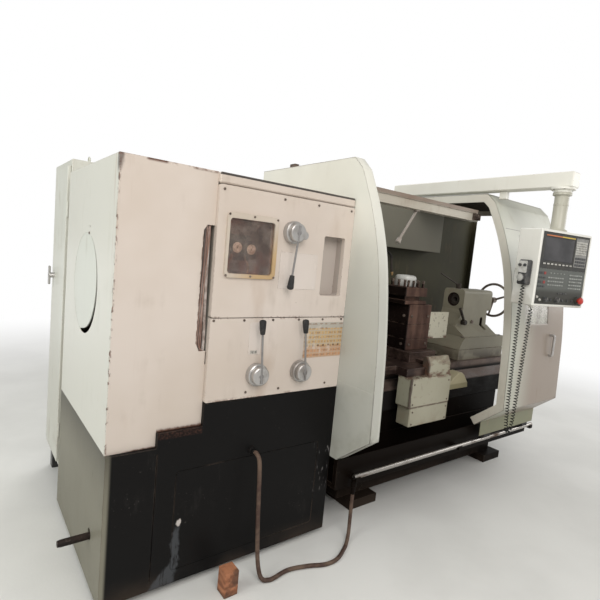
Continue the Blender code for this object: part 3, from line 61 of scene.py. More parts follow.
camera = bpy.data.objects.new("camera", bpy.data.cameras.new("camera"))
camera.data.lens = LENS
camera.data.sensor_width = 36.0
camera.data.clip_start = 0.05
camera.matrix_world = Matrix([[*row, place] for row, place in zip(np.stack((across, above, -forward), 1), EYE)]
                             + [[0.0, 0.0, 0.0, 1.0]])
bpy.context.scene.collection.objects.link(camera)
bpy.context.scene.camera = camera
bpy.context.scene.view_settings.view_transform = "Standard"


def lamp(name, place, aim, size, power, colour=(1.0, 1.0, 1.0)):
    """Square soft lamp at a place, turned towards its aim."""
    light = bpy.data.lights.new(name, "AREA")
    light.size = size
    light.energy = power
    light.color = colour
    holder = bpy.data.objects.new(name, light)
    back = np.array(place) - np.array(aim)
    side = np.cross(UP, back)
    turn = np.stack([v / np.linalg.norm(v) for v in (side, np.cross(back, side), back)], 1)
    holder.matrix_world = Matrix([[*row, spot] for row, spot in zip(turn, place)] + [[0.0, 0.0, 0.0, 1.0]])
    bpy.context.scene.collection.objects.link(holder)


lamp("high_front_lamp", (-2.2, -4.6, 4.4), (0.0, 0.0, 1.0), 3.2, 150, (1.0, 0.965, 0.93))
lamp("left_lamp", (-5.4, -0.6, 3.6), (-0.8, 0.0, 1.1), 3.0, 105, (0.97, 1.0, 0.965))
lamp("high_rear_lamp", (1.5, 4.2, 4.6), (0.0, 0.0, 1.2), 3.6, 90)
lamp("right_lamp", (5.6, -2.6, 3.0), (0.6, 0.0, 1.2), 3.0, 70)


class Value:
    """A number, colour or vector inside a material. Arithmetic on numbers adds Math nodes."""

    def __init__(self, look, socket):
        self.look = look
        self.socket = socket

    def __add__(self, other):
        return self.look.maths("ADD", self, other)

    def __mul__(self, other):
        return self.look.maths("MULTIPLY", self, other)

    def __sub__(self, other):
        return self.look.maths("SUBTRACT", self, other)

    def __rsub__(self, other):
        return self.look.maths("SUBTRACT", other, self)

    def __mod__(self, other):
        return self.look.maths("FLOORED_MODULO", self, other)

    def __abs__(self):
        return self.look.maths("ABSOLUTE", self)

    __radd__ = __add__
    __rmul__ = __mul__


class Look:
    """The material of one finish."""

    def __init__(self, name, **constants):
        self.material = bpy.data.materials.new(name)
        self.material.use_nodes = True
        self.tree = self.material.node_tree
        self.shader = self.tree.nodes["Principled BSDF"]
        for socket, number in constants.items():
            self.feed(self.shader.inputs[socket.replace("_", " ").title().replace("Ior", "IOR")], number)
        place = self.node("TexCoord", output=3)
        self.place = self.node("VectorMath", {"operation": "SUBTRACT"}, {0: place, 1: tuple(CORNER)})
        self.x, self.y, self.z = (self.node("SeparateXYZ", {}, {0: self.place}, i) for i in range(3))

    def feed(self, socket, value):
        if isinstance(value, Value):
            self.tree.links.new(value.socket, socket)
        elif socket.type == "RGBA":
            socket.default_value = (*value, 1.0)
        else:
            socket.default_value = value

    def node(self, kind, settings=None, values=None, output=0):
        """Any node: its settings first, then its sockets; gives one output."""
        node = self.tree.nodes.new("ShaderNode" + kind)
        for name, setting in (settings or {}).items():
            setattr(node, name, setting)
        for name, value in (values or {}).items():
            self.feed(node.inputs[name], value)
        return Value(self, node.outputs[output])

    def maths(self, operation, *values):
        return self.node("Math", {"operation": operation}, dict(enumerate(values)))

    def most(self, first, second):
        return self.maths("MAXIMUM", first, second)

    def step(self, value, low, high):
        """0 below low, 1 above high, smooth between them; turned round where low is the larger."""
        return self.node("MapRange", {"interpolation_type": "SMOOTHSTEP"}, {0: value, 1: low, 2: high})

    def near(self, value, middle, reach, soft):
        """1 within reach of the middle, falling to 0 over the soft distance."""
        return self.step(abs(value - middle), reach + soft, reach)

    def noise(self, scale, detail=3.0, stretch=(1.0, 1.0, 1.0), rough=0.55, seed=0.0):
        """Cloudy number round 0.5, its grain stretched along the axes."""
        place = self.node("Mapping", {}, {0: self.place, 1: (seed, seed, seed), 3: stretch})
        return self.node("TexNoise", {}, {"Vector": place, "Scale": scale, "Detail": detail, "Roughness": rough})

    def mix(self, share, first, second):
        """The first colour where share is 0 and the second where it is 1."""
        return self.node("Mix", {"data_type": "RGBA"}, {0: share, 6: first, 7: second}, 2)

    def edges(self, radius):
        """1 along sharp edges: how far the normal rounded over the radius turns from the face's own."""
        rounded = self.node("Bevel", {"samples": 4}, {"Radius": radius})
        own = self.node("NewGeometry", output=1)
        return 1.0 - self.node("VectorMath", {"operation": "DOT_PRODUCT"}, {0: rounded, 1: own}, 1)

    def finish(self, colour, roughness, height=None, depth=0.001, round_over=0.0):
        """Colour and roughness into the shader, and height through a bump of that depth."""
        self.feed(self.shader.inputs["Base Color"], colour)
        self.feed(self.shader.inputs["Roughness"], roughness)
        normal = {}
        if round_over:
            normal = {"Normal": self.node("Bevel", {"samples": 4}, {"Radius": round_over})}
        if height is not None:
            bump = self.node("Bump", {}, {"Height": height, "Distance": depth, **normal})
            self.feed(self.shader.inputs["Normal"], bump)
        elif normal:
            self.feed(self.shader.inputs["Normal"], normal["Normal"])
        return self


def coat(node, look):
    """Gives a node of the frame its finish."""
    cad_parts[node].material_slots[0].material = look.material


floor_look = Look("pale_floor", roughness=0.7)
FLOOR_X, FLOOR_Y, FLOOR_Z, FLOOR_HALF = 1.8, 0.5, -0.0006, 60.0
radius = floor_look.maths("SQRT", floor_look.maths("POWER", floor_look.x - FLOOR_X, 2.0)
                          + floor_look.maths("POWER", floor_look.y - FLOOR_Y, 2.0))
cloud = floor_look.noise(1.1, 5.0)
floor_look.finish(floor_look.mix(floor_look.step(cloud, 0.35, 0.65), (0.66, 0.655, 0.63), (0.72, 0.715, 0.69)),
                  0.55 + 0.2 * cloud, floor_look.noise(60.0), 0.0006)
glow = floor_look.node("Emission", {}, {0: (1.0, 1.0, 1.0), 1: 1.0})
light_path = [floor_look.node("LightPath", output=i) for i in (0, 3, 6)]
seen = floor_look.maths("MINIMUM", light_path[0] + light_path[1] + light_path[2], 1.0)
fade = floor_look.node("MixShader", {}, {0: floor_look.step(radius, 2.9, 7.5) * seen,
                                         1: Value(floor_look, floor_look.shader.outputs[0]), 2: glow})
floor_look.tree.links.new(fade.socket, floor_look.tree.nodes["Material Output"].inputs[0])
floor_mesh = bpy.data.meshes.new("floor")
floor_corners = [(x * FLOOR_HALF, y * FLOOR_HALF, FLOOR_Z) for x, y in ((-1, -1), (1, -1), (1, 1), (-1, 1))]
floor_mesh.from_pydata(floor_corners, [], [(0, 1, 2, 3)])
floor_mesh.materials.append(floor_look.material)
floor = bpy.data.objects.new("floor", floor_mesh)
bpy.context.scene.collection.objects.link(floor)

world = bpy.data.worlds.new("surround")
bpy.context.scene.world = world
world.use_nodes = True
sky = world.node_tree
sky_path = sky.nodes.new("ShaderNodeLightPath")
sky_seen = sky.nodes.new("ShaderNodeMath")
sky_seen.operation = "MAXIMUM"
sky.links.new(sky_path.outputs["Is Camera Ray"], sky_seen.inputs[0])
sky.links.new(sky_path.outputs["Is Transmission Ray"], sky_seen.inputs[1])
sky_mix = sky.nodes.new("ShaderNodeMix")
sky_mix.data_type = "RGBA"
sky_mix.inputs[6].default_value = (0.56, 0.56, 0.55, 1.0)
sky_mix.inputs[7].default_value = (1.0, 1.0, 1.0, 1.0)
sky.links.new(sky_seen.outputs[0], sky_mix.inputs[0])
sky.links.new(sky_mix.outputs[2], sky.nodes["Background"].inputs[0])


# Floor hose: brown rubber hose from the gland low on the plinth, down to the floor and along
# it, and up into the fitting under the door rail. Both ends push over barbed metal.
def curve_through(points, count):
    """Catmull-Rom curve: each span is a cubic in t, all spans and steps worked out at once."""
    points = np.asarray(points, float)
    padded = np.vstack((2 * points[0] - points[1], points, 2 * points[-1] - points[-2]))
    a, b, c, d = (padded[i:len(padded) - 3 + i, None, :] for i in range(4))
    t = (np.arange(count) / count)[None, :, None]
    spans = 0.5 * (2 * b + (c - a) * t + (2 * a - 5 * b + 4 * c - d) * t ** 2 + (3 * b - a - 3 * c + d) * t ** 3)
    return np.vstack((spans.reshape(-1, points.shape[1]), points[-1:]))


def frames_along(path):
    """Tangents of a path and two normals that turn with it as little as they can."""
    tangent = np.gradient(path, axis=0)
    tangent /= np.linalg.norm(tangent, axis=1, keepdims=True)
    first = np.empty_like(path)
    guess = np.array(UP if abs(tangent[0, 2]) < 0.9 else RIGHT)
    for i, along in enumerate(tangent):
        guess = guess - along * guess.dot(along)
        guess = guess / np.linalg.norm(guess)
        first[i] = guess
    return tangent, first, np.cross(tangent, first)


def pipe(path, radii, sides=12):
    """Tube: a circle of the local radius carried along the path, its ends closed to a point."""
    path = np.asarray(path, float)
    radii = np.broadcast_to(np.asarray(radii, float), len(path))
    _, u, v = frames_along(path)
    turn = np.linspace(0.0, 2 * np.pi, sides, endpoint=False)[None, :, None]
    ring = path[:, None] + radii[:, None, None] * (np.cos(turn) * u[:, None] + np.sin(turn) * v[:, None])
    return grid(np.concatenate((np.repeat(path[None, :1], sides, 1), ring, np.repeat(path[None, -1:], sides, 1))),
                True)


def grid(points, round_trip=False):
    """Quads between neighbours on a grid of points; round_trip joins the last column to the first."""
    rows, columns = points.shape[:2]
    number = np.arange(rows * columns).reshape(rows, columns)
    if round_trip:
        number = np.hstack((number, number[:, :1]))
    faces = np.stack((number[:-1, :-1], number[:-1, 1:], number[1:, 1:], number[1:, :-1]), -1)
    return points.reshape(-1, 3), faces.reshape(-1, 4)


def together(*shapes):
    """Several shapes, each of points and faces, as one."""
    points = np.vstack([shape[0] for shape in shapes])
    starts = np.cumsum([0] + [len(shape[0]) for shape in shapes[:-1]])
    return points, np.vstack([shape[1] + start for shape, start in zip(shapes, starts)])


def piece(name, shape, look, body, replaces=(), sheet=0.0, sharp=32.0):
    """Object of a shape in its place: merged, faces outward, with its finish, riding on a body."""
    mesh = bpy.data.meshes.new(name)
    mesh.from_pydata((shape[0] + CORNER).tolist(), [], shape[1].tolist())
    work = bmesh.new()
    work.from_mesh(mesh)
    bmesh.ops.remove_doubles(work, verts=work.verts, dist=1e-6)
    bmesh.ops.dissolve_degenerate(work, edges=work.edges, dist=1e-7)
    if not sheet:
        bmesh.ops.recalc_face_normals(work, faces=work.faces)
    work.to_mesh(mesh)
    work.free()
    mesh.shade_smooth()
    mesh.set_sharp_from_angle(angle=math.radians(sharp))
    mesh.materials.append(look.material)
    made = bpy.data.objects.new(name, mesh)
    bpy.context.scene.collection.objects.link(made)
    if sheet:
        wall = made.modifiers.new("wall", "SOLIDIFY")
        wall.thickness = sheet
        wall.offset = -1.0
        even = made.modifiers.new("even_normals", "WEIGHTED_NORMAL")
        even.keep_sharp = True
        even.weight = 100
    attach(made, body)
    if replaces:
        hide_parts(*replaces)
    return made


def hose_look(name, colour, dust):
    """Rubber or moulded plastic, duller and paler where dust lies."""
    look = Look(name, specular_ior_level=0.25)
    grit = look.noise(40.0, 4.0)
    patch = look.noise(9.0, 3.0, seed=3.0)
    share = look.step(grit * 0.4 + patch * 0.6, 0.42, 0.62)
    height = look.noise(220.0, 2.0)
    return look.finish(look.mix(share, colour, dust), 0.55 + 0.25 * share, height, 0.0006)


FLOOR_HOSE_R = 0.011
LOW = 0.0116
floor_hose_line = curve_through((
    (0.73, -0.0503, 0.627), (0.73, -0.058, 0.627), (0.73, -0.066, 0.627), (0.73, -0.098, 0.6),
    (0.728, -0.115, 0.5), (0.727, -0.135, 0.3), (0.728, -0.158, 0.12), (0.733, -0.182, 0.04),
    (0.745, -0.2, 0.0155), (0.768, -0.21, LOW), (0.8, -0.214, LOW), (0.9, -0.201, LOW),
    (1.007, -0.227, LOW), (1.108, -0.266, LOW), (1.195, -0.262, LOW), (1.29, -0.213, LOW),
    (1.335, -0.182, 0.0145), (1.375, -0.15, 0.038), (1.396, -0.13, 0.1), (1.4, -0.125, 0.18),
    (1.4, -0.125, 0.24), (1.4, -0.125, 0.255), (1.4, -0.125, 0.2697)), 6)
BROWN_RUBBER = hose_look("brown_hose_rubber", (0.06, 0.034, 0.026), (0.125, 0.085, 0.062))
hose = piece("long_floor_hose", pipe(floor_hose_line, FLOOR_HOSE_R, 16), BROWN_RUBBER, "frame",
             ["floor_hose"])


# Curly cord of the hand unit: a thin black lead wound into a spring, which hangs in one long
# loop from the hand unit's foot and comes back up into the gland under the pendant case.
PENDANT_AXIS = np.array((2.7, -0.485, 0.0))
PENDANT_TURN = math.radians(-10)
PENDANT_SPIN = np.array(((math.cos(PENDANT_TURN), -math.sin(PENDANT_TURN), 0.0),
                         (math.sin(PENDANT_TURN), math.cos(PENDANT_TURN), 0.0), (0.0, 0.0, 1.0)))


def on_pendant(points):
    """Points turned with the pendant about its column."""
    return (np.asarray(points) - PENDANT_AXIS) @ PENDANT_SPIN.T + PENDANT_AXIS


CORD_X, CORD_Y, GLAND_X = 2.415, -0.5, 2.525
LEAD_R = 0.003
COIL_R = 0.01
COIL_PITCH = 0.02
loop_line = curve_through((
    (CORD_X, CORD_Y, 1.5997), (CORD_X, CORD_Y, 1.5), (CORD_X + 0.002, CORD_Y, 1.3), (CORD_X + 0.008, CORD_Y, 1.05),
    (CORD_X + 0.018, CORD_Y, 0.8), (CORD_X + 0.028, CORD_Y, 0.66), (CORD_X + 0.045, CORD_Y, 0.605),
    (CORD_X + 0.068, CORD_Y, 0.605), (CORD_X + 0.082, CORD_Y, 0.66), (CORD_X + 0.09, CORD_Y, 0.8),
    (CORD_X + 0.099, CORD_Y, 1.05), (GLAND_X - 0.003, CORD_Y, 1.28), (GLAND_X, CORD_Y, 1.39),
    (GLAND_X, CORD_Y, 1.42), (GLAND_X, CORD_Y, 1.4517)), 40)
travelled = np.concatenate(([0.0], np.cumsum(np.linalg.norm(np.diff(loop_line, axis=0), axis=1))))
loop_length = travelled[-1]
turns = round(loop_length / COIL_PITCH)
along = np.linspace(0.0, loop_length, turns * 18 + 1)
middle = np.stack([np.interp(along, travelled, loop_line[:, i]) for i in range(3)], 1)
_, side_u, side_v = frames_along(middle)
ease = np.clip(np.minimum(along, loop_length - along) / 0.02, 0.0, 1.0)[:, None]
wind = (2 * np.pi * turns * along / loop_length)[:, None]
lead_line = on_pendant(middle + ease * COIL_R * (np.cos(wind) * side_u + np.sin(wind) * side_v))
CORD_BLACK = hose_look("curly_cord_rubber", (0.01, 0.011, 0.009), (0.022, 0.023, 0.019))
curly = piece("hand_unit_curly_cord", pipe(lead_line, LEAD_R, 6), CORD_BLACK, "pendant_body",
              ["hand_unit_cord"], sharp=80.0)


# Plinth: black painted box of welded plate under the headstock, on two skids, scuffed grey
# where it is knocked and dusty along its foot. A steel bar for lifting goes through it.
def worn_black(name, smear=True, base=(0.0066, 0.0062, 0.0062), shine=0.1, scuffs=0.45):
    """Black enamel scuffed to grey, with dust near the floor and brown where oil has dried."""
    look = Look(name, specular_ior_level=shine)
    scratch = look.noise(26.0, 6.0, (1.0, 1.0, 0.28), 0.7)
    cloud = look.noise(3.2, 5.0, seed=5.0)
    fleck = look.noise(95.0, 3.0, seed=2.0)
    scuff = look.step(scratch * 0.55 + cloud * 0.45, 0.57, 0.72)
    foot = look.step(look.z, 0.16, 0.0) * look.step(cloud, 0.35, 0.6)
    colour = look.mix(scuff * scuffs, base, (0.034, 0.031, 0.029))
    knocks = look.step(fleck + 0.35 * cloud, 0.9, 0.94) * look.step(cloud, 0.42, 0.6)
    colour = look.mix(knocks * 0.6, colour, (0.16, 0.15, 0.13))
    colour = look.mix(foot * 0.6, colour, (0.055, 0.04, 0.03))
    if smear:
        waver = look.noise(34.0, 4.0, seed=17.0) - 0.5
        off_x, off_z = (look.x - 0.348 + 0.05 * waver) * 1.7, look.z - 0.335 + 0.06 * waver
        blot = look.step(look.maths("SQRT", off_x * off_x + off_z * off_z), 0.023, 0.012)
        drag = look.near(look.x + 0.05 * waver, 0.341, 0.009, 0.016) * look.near(look.z, 0.2, 0.1, 0.03)
        fan = look.step(look.x - look.z + 0.04 * waver, 0.165, 0.185) * look.step(look.x + 0.04 * waver, 0.352, 0.335)
        fan = fan * look.step(look.z, 0.175, 0.13)
        wipe = look.most(drag, fan) * look.step(scratch, 0.36, 0.5) * look.step(look.y, 0.002, 0.0)
        colour = look.mix(wipe * 0.75, colour, (0.07, 0.074, 0.08))
        colour = look.mix(blot * look.step(look.y, 0.002, 0.0), colour, (0.5, 0.46, 0.43))
        # The left face is made paler, the more so towards the floor.
        left_face_paler = look.step(look.x, 0.03, 0.012) * look.step(look.z, 1.0, 0.45)
        colour = look.mix(left_face_paler * 0.9, colour, look.mix(cloud, (0.27, 0.255, 0.2), (0.19, 0.18, 0.14)))
        # Painted shadow under the end cover's step, dark brown where rust shows in it.
        step_shadow_and_rust = look.near(look.z, 0.785, 0.013, 0.008) * look.near(look.x, 0.331, 0.105, 0.004)
        step_shadow_and_rust = step_shadow_and_rust * look.step(scratch, 0.3, 0.42)
        colour = look.mix(step_shadow_and_rust * 0.9, colour, look.mix(look.step(fleck, 0.45, 0.62), (0.013, 0.008, 0.007),
                                                        (0.05, 0.024, 0.018)))
        splash = look.near(look.x, 1.215, 0.045, 0.03) * look.near(look.z, 0.44, 0.12, 0.05)
        splash = splash * look.step(look.y, 0.01, 0.0)
        drops = look.step(look.noise(60.0, 4.0, (1.0, 1.0, 0.3), seed=23.0), 0.6, 0.68)
        colour = look.mix(splash * drops * 0.8, colour, (0.16, 0.15, 0.15))
    rub = look.step(look.edges(0.006), 0.02, 0.2) * look.step(cloud + 0.3 * fleck, 0.55, 0.8)
    colour = look.mix(rub * 0.7, colour, (0.095, 0.07, 0.055))
    return look.finish(colour, 0.42 + 0.3 * scuff + 0.15 * foot, scratch * 0.4 + cloud, 0.0012, 0.003)


PLINTH_BLACK = worn_black("plinth_black_enamel")
coat("plinth", PLINTH_BLACK)
# Stand and chip tray: the plinth's black made darker and duller, as painted shade under the machine.
SHADED_STAND_BLACK = worn_black("stand_black_enamel_painted_shade", False, (0.006, 0.004, 0.003), 0.04, 0.25)
coat("bed_pedestal", SHADED_STAND_BLACK)
coat("chip_tray", SHADED_STAND_BLACK)


def oily_iron(name, dark, light, share=0.5, oil=0.42, blackening=None):
    """Bare machined iron under old oil: brown film, thin bright scores; the last argument, when given, says where it
    is made black, as painted shade.
    """
    look = Look(name, metallic=0.4, specular_ior_level=0.3)
    film = look.noise(4.5, 6.0, seed=1.0)
    score = look.noise(34.0, 5.0, (0.25, 1.0, 1.0), 0.7, 4.0)
    grit = look.noise(120.0, 3.0, seed=7.0)
    tone = look.step(film * 0.6 + score * 0.4, 0.4, 0.62)
    colour = look.mix(tone, dark, light)
    colour = look.mix(look.step(grit + 0.3 * film, 0.76, 0.86) * share, colour, (0.26, 0.21, 0.175))
    rub = look.step(look.edges(0.004), 0.02, 0.2) * look.step(score, 0.4, 0.6)
    colour = look.mix(rub * 0.7, colour, (0.36, 0.31, 0.27))
    rough = oil + 0.25 * tone - 0.12 * rub
    if blackening:
        # Painted shade: the masked part is made black, matt and not metallic.
        black = blackening(look)
        colour = look.mix(black * 0.97, colour, (0.003, 0.0024, 0.0022))
        rough = rough + 0.4 * black
        look.feed(look.shader.inputs["Metallic"], 0.4 - 0.4 * black)
    return look.finish(colour, rough, grit * 0.5 + film, 0.0009, 0.002)


RUSTY_BAR = oily_iron("rusty_bar_iron", (0.012, 0.009, 0.008), (0.04, 0.026, 0.021), 0.2, 0.6)
BAR_Y, BAR_Z, BAR_R, BAR_RINGS = 0.183, 0.2655, 0.0165, 24
bar_line = np.linspace((-0.1345, BAR_Y, BAR_Z), (0.2, BAR_Y, BAR_Z), BAR_RINGS)
bar_radii = np.full(BAR_RINGS, BAR_R)
bar_radii[0] = BAR_R - 0.0025
piece("lifting_bar_end", pipe(bar_line, bar_radii, 32), RUSTY_BAR, "frame", ["lifting_bar"])



# Bed: cast iron with two ground ways, brown with oil, and the chromed round rail that the
# door runs on, seated in three cradles on the front of the chip tray.
def bed_shade_marks(look):
    """Painted shade below the ways: black, standing also for old oil, but less on the sloping ledge."""
    ledge = look.near(look.z, 0.797, 0.033, 0.005) * look.step(look.y, 0.3, 0.2)
    return look.step(look.z, 0.875, 0.84) * (1.0 - 0.72 * ledge)


WAY_IRON = oily_iron("oiled_way_iron", (0.07, 0.044, 0.034), (0.2, 0.145, 0.12), 0.4, 0.3, bed_shade_marks)
coat("bed", WAY_IRON)

RAIL_Y, RAIL_Z, RAIL_R = -0.14, 0.385, 0.015
rail_chrome = Look("rail_chrome", metallic=1.0)
rail_soil = rail_chrome.noise(14.0, 5.0, (0.3, 1.0, 1.0))
rail_grime = rail_chrome.step(rail_soil, 0.48, 0.66)
rail_chrome.finish(rail_chrome.mix(rail_grime, (0.4, 0.375, 0.35), (0.135, 0.095, 0.072)), 0.27 + 0.35 * rail_grime,
                   rail_chrome.noise(160.0), 0.0003)
RAIL_RINGS = 60
rail_line = np.linspace((1.38, RAIL_Y, RAIL_Z), (3.5, RAIL_Y, RAIL_Z), RAIL_RINGS)
rail_radii = np.full(RAIL_RINGS, RAIL_R)
rail_radii[[0, -1]] = RAIL_R - 0.002
piece("door_rail", pipe(rail_line, rail_radii, 28), rail_chrome, "frame", ["lower_rail"])


# Headstock: grey casting behind two thick cast front panels under a bolted top cover. The
# panels and the sheet covers carry old white enamel, yellowed and chipped along their edges.
WHITE = (0.665, 0.585, 0.525)
AGED = (0.6, 0.515, 0.445)
RUST = (0.085, 0.036, 0.022)


def enamel(name, colour=WHITE, shade=AGED, grime=0.4, gloss=0.36, marks=None, chips=0.5, relief=0.0006, shine=0.5):
    """Old enamel: broad yellowing, runs of dirt, small chips to rust, worn edges, a little painted shade low down;
    marks adds a piece's own.
    """
    look = Look(name, specular_ior_level=shine)
    broad = look.noise(1.2, 4.0)
    patch = look.noise(6.0, 5.0, seed=3.0)
    runs = look.noise(15.0, 4.0, (1.0, 1.0, 0.09), seed=6.0)
    speck = look.noise(85.0, 3.0, seed=9.0)
    tone = look.mix(look.step(broad, 0.36, 0.64), colour, shade)
    dirt = look.step(runs * 0.5 + patch * 0.5, 0.54, 0.72)
    tone = look.mix(dirt * grime, tone, (0.3, 0.225, 0.165))
    tone = look.mix(look.step(speck + 0.3 * patch, 0.925, 0.95) * 0.8, tone, (0.16, 0.09, 0.06))
    # Painted shade: a little darker towards the bottom, as if lit from above.
    tone = look.mix(look.step(look.z, 1.75, 0.75) * 0.1, tone, (0.25, 0.235, 0.2))
    worn = look.step(look.edges(0.005), 0.03, 0.2) * look.step(patch * 0.45 + speck * 0.55, 0.6 - 0.2 * chips, 0.62)
    if marks:
        tone, worn = marks(look, tone, worn, speck, patch)
    tone = look.mix(worn, tone, look.mix(look.step(speck, 0.4, 0.6), RUST, (0.15, 0.072, 0.045)))
    return look.finish(tone, gloss + 0.22 * dirt + 0.3 * worn, speck * 0.25 + broad - 1.2 * worn, relief, 0.002)


def casting_marks(look, tone, worn, speck, patch):
    # Painted shade: behind the front panels the casting is made dark, and paler beyond x 1.05 in the recess.
    inside = look.step(look.y, 0.0085, 0.012) * look.step(look.x, 1.275, 1.27) * look.step(look.x, 0.445, 0.45)
    inside = inside * look.step(look.z, 1.9, 1.85) * look.near(look.y, 0.07, 0.07, 0.01)
    recess = look.step(look.x, 1.0, 1.05)
    inner = look.mix(recess, (0.115, 0.08, 0.068), (0.47, 0.415, 0.375))
    return look.mix(inside, tone, inner), worn


casting_paint = enamel("headstock_casting_paint", (0.36, 0.34, 0.3), (0.3, 0.28, 0.24), 0.6, 0.45, casting_marks)
coat("headstock_casting", casting_paint)


def panel_marks(look, tone, worn, speck, patch):
    top = look.step(look.z, 1.946, 1.949) * look.step(patch, 0.3, 0.45)
    seam = look.near(look.z, 1.325, 0.001, 0.012) * look.step(speck * 0.5 + patch * 0.5, 0.5, 0.6)
    foot = look.step(look.z, 0.93, 0.912) * look.step(patch * 0.7 + speck * 0.3, 0.5, 0.6)
    round_levers = look.noise(5.0, 4.0, (1.0, 1.0, 0.3), seed=12.0)
    tone = look.mix(look.step(round_levers, 0.55, 0.75) * 0.35, tone, (0.42, 0.3, 0.21))
    return tone, look.most(worn, look.most(top * 0.8, look.most(seam, foot) * 0.7))


panel_paint = enamel("front_panel_enamel", WHITE, AGED, 0.28, 0.34, panel_marks)
coat("upper_panel", panel_paint)
coat("lower_panel", panel_paint)


def top_marks(look, tone, worn, speck, patch):
    rim = look.step(look.y, -0.01, -0.017) * look.step(look.z, 1.9855 + 0.003 * patch, 1.989)
    dust = look.step(look.z, 1.995, 1.9995) * look.step(patch, 0.4, 0.6)
    tone = look.mix(dust * 0.55, tone, (0.24, 0.185, 0.14))
    return look.mix(rim * 0.95, tone, (0.018, 0.014, 0.012)), worn


coat("headstock_lid", enamel("top_cover_enamel", WHITE, AGED, 0.3, 0.36, top_marks, 0.8))


def basis(axis):
    """Unit axis and two unit vectors square to it."""
    axis = np.asarray(axis, float) / np.linalg.norm(axis)
    first = np.cross(axis, UP if abs(axis[2]) < 0.9 else RIGHT)
    first = first / np.linalg.norm(first)
    return axis, first, np.cross(axis, first)


def lathe(profile, centre, axis, steps=32):
    """Rows of (radius, height) swept round the axis through the centre."""
    profile = np.asarray(profile, float)
    axis, u, v = basis(axis)
    turn = np.linspace(0.0, 2 * np.pi, steps, endpoint=False)[:, None]
    ring = np.cos(turn) * u + np.sin(turn) * v
    points = np.asarray(centre) + profile[:, 1, None, None] * axis + profile[:, 0, None, None] * ring[None]
    return grid(points, True)


def outline(u0, u1, v0, v1, corner, count=5):
    """Counter-clockwise rectangle, each corner a quarter circle of count points."""
    quarter = np.linspace(0.0, np.pi / 2, count)
    middles = ((u1 - corner, v1 - corner), (u0 + corner, v1 - corner), (u0 + corner, v0 + corner),
               (u1 - corner, v0 + corner))
    return np.vstack([np.stack((mu + corner * np.cos(quarter + i * np.pi / 2),
                                mv + corner * np.sin(quarter + i * np.pi / 2)), 1)
                      for i, (mu, mv) in enumerate(middles)])


def drawn_in(shape, distance):
    """Closed outline moved inwards: each corner along the mitre of its two sides' normals."""
    side = np.roll(shape, -1, 0) - shape
    normal = np.stack((-side[:, 1], side[:, 0]), 1) / np.linalg.norm(side, axis=1, keepdims=True)
    mitre = normal + np.roll(normal, 1, 0)
    mitre /= np.linalg.norm(mitre, axis=1, keepdims=True)
    return shape + mitre * distance / np.maximum((mitre * normal).sum(1, keepdims=True), 0.3)


ORDER = {"x": (2, 0, 1), "y": (0, 2, 1), "z": (0, 1, 2)}


def slab(shape, low, high, axis, bevel=0.0):
    """Plate from low to high along an axis: rings drawn in by the bevel at both ends, closed at the middle."""
    levels = ((low, bevel), (low + bevel, 0.0), (high - bevel, 0.0), (high, bevel))
    if not bevel:
        levels = ((low, 0.0), (high, 0.0))
    rings = [np.column_stack((drawn_in(shape, draw) if draw else shape, np.full(len(shape), level)))
             for level, draw in levels]
    ends = [np.repeat([[*shape.mean(0), level]], len(shape), 0) for level in (low, high)]
    flat = np.stack([ends[0], *rings, ends[1]])
    order = ORDER[axis]
    return grid(flat[..., order], True)


def block(x, y, z, corner=0.002, axis="y", bevel=0.001):
    """Box between two ends on each axis, its outline rounded and its faces bevelled along the axis."""
    spans = {"x": (y, z, x), "y": (x, z, y), "z": (x, y, z)}[axis]
    return slab(outline(*spans[0], *spans[1], corner), *spans[2], axis, bevel)


def screw(place, axis, size):
    """Socket screw head: a short bevelled disc with a hollow in its middle."""
    return lathe(((0.0, 0.0), (size, 0.0), (size, 0.5 * size), (0.85 * size, 0.62 * size), (0.45 * size, 0.62 * size),
                  (0.42 * size, 0.2 * size), (0.0, 0.2 * size)), place, axis, 12)


def screws(places, axis, size):
    """A screw head at each of the places."""
    return together(*[screw(place, axis, size) for place in places])


FRONT = (0.0, -1.0, 0.0)
LEFT = (-1.0, 0.0, 0.0)
PANEL_FACE = -0.0203
SCREW_DARK = oily_iron("screw_iron", (0.06, 0.042, 0.034), (0.2, 0.155, 0.125), 0.3, 0.5)
panel_screws = [(x, 1.313) for x in (0.455, 0.62, 0.79, 0.955, 1.12, 1.258)]
panel_screws += [(0.8, 1.925), (1.02, 1.925), (0.462, 1.925), (1.255, 1.925), (0.66, 0.945), (0.86, 0.945),
                 (1.18, 0.945)]
piece("panel_screws", screws([(x, PANEL_FACE, z) for x, z in panel_screws], FRONT, 0.0062), SCREW_DARK,
      "frame")
lid_screws = [(x, y) for x in (0.47, 0.86, 1.25) for y in (0.02, 0.95)]
piece("top_cover_screws", screws([(x, y, 2.0002) for x, y in lid_screws], UP, 0.008),
      SCREW_DARK, "frame")


# Packing timber: a short end of sawn softwood stood on the floor in front of the plinth's foot,
# split along its grain and black where it has soaked up oil.
timber = Look("packing_timber")
grain = timber.noise(38.0, 4.0, (1.0, 0.12, 1.0), 0.6)
ring = timber.node("TexWave", {"wave_type": "BANDS", "bands_direction": "Z"},
                   {"Vector": timber.place, "Scale": 6.0, "Distortion": 11.0, "Detail": 5.0})
wood_share = timber.step(grain * 0.75 + ring * 0.25, 0.32, 0.68)
timber_colour = timber.mix(wood_share, (0.21, 0.075, 0.033), (0.4, 0.165, 0.08))
blackening = timber.noise(11.0, 5.0, seed=3.0)
timber_colour = timber.mix(timber.step(blackening, 0.5, 0.62) * 0.75, timber_colour, (0.06, 0.03, 0.019))
timber_colour = timber.mix(timber.step(timber.z, 0.03, 0.0) * 0.7, timber_colour, (0.07, 0.04, 0.025))
timber.finish(timber_colour, 0.75 + 0.15 * grain, grain, 0.002, 0.003)
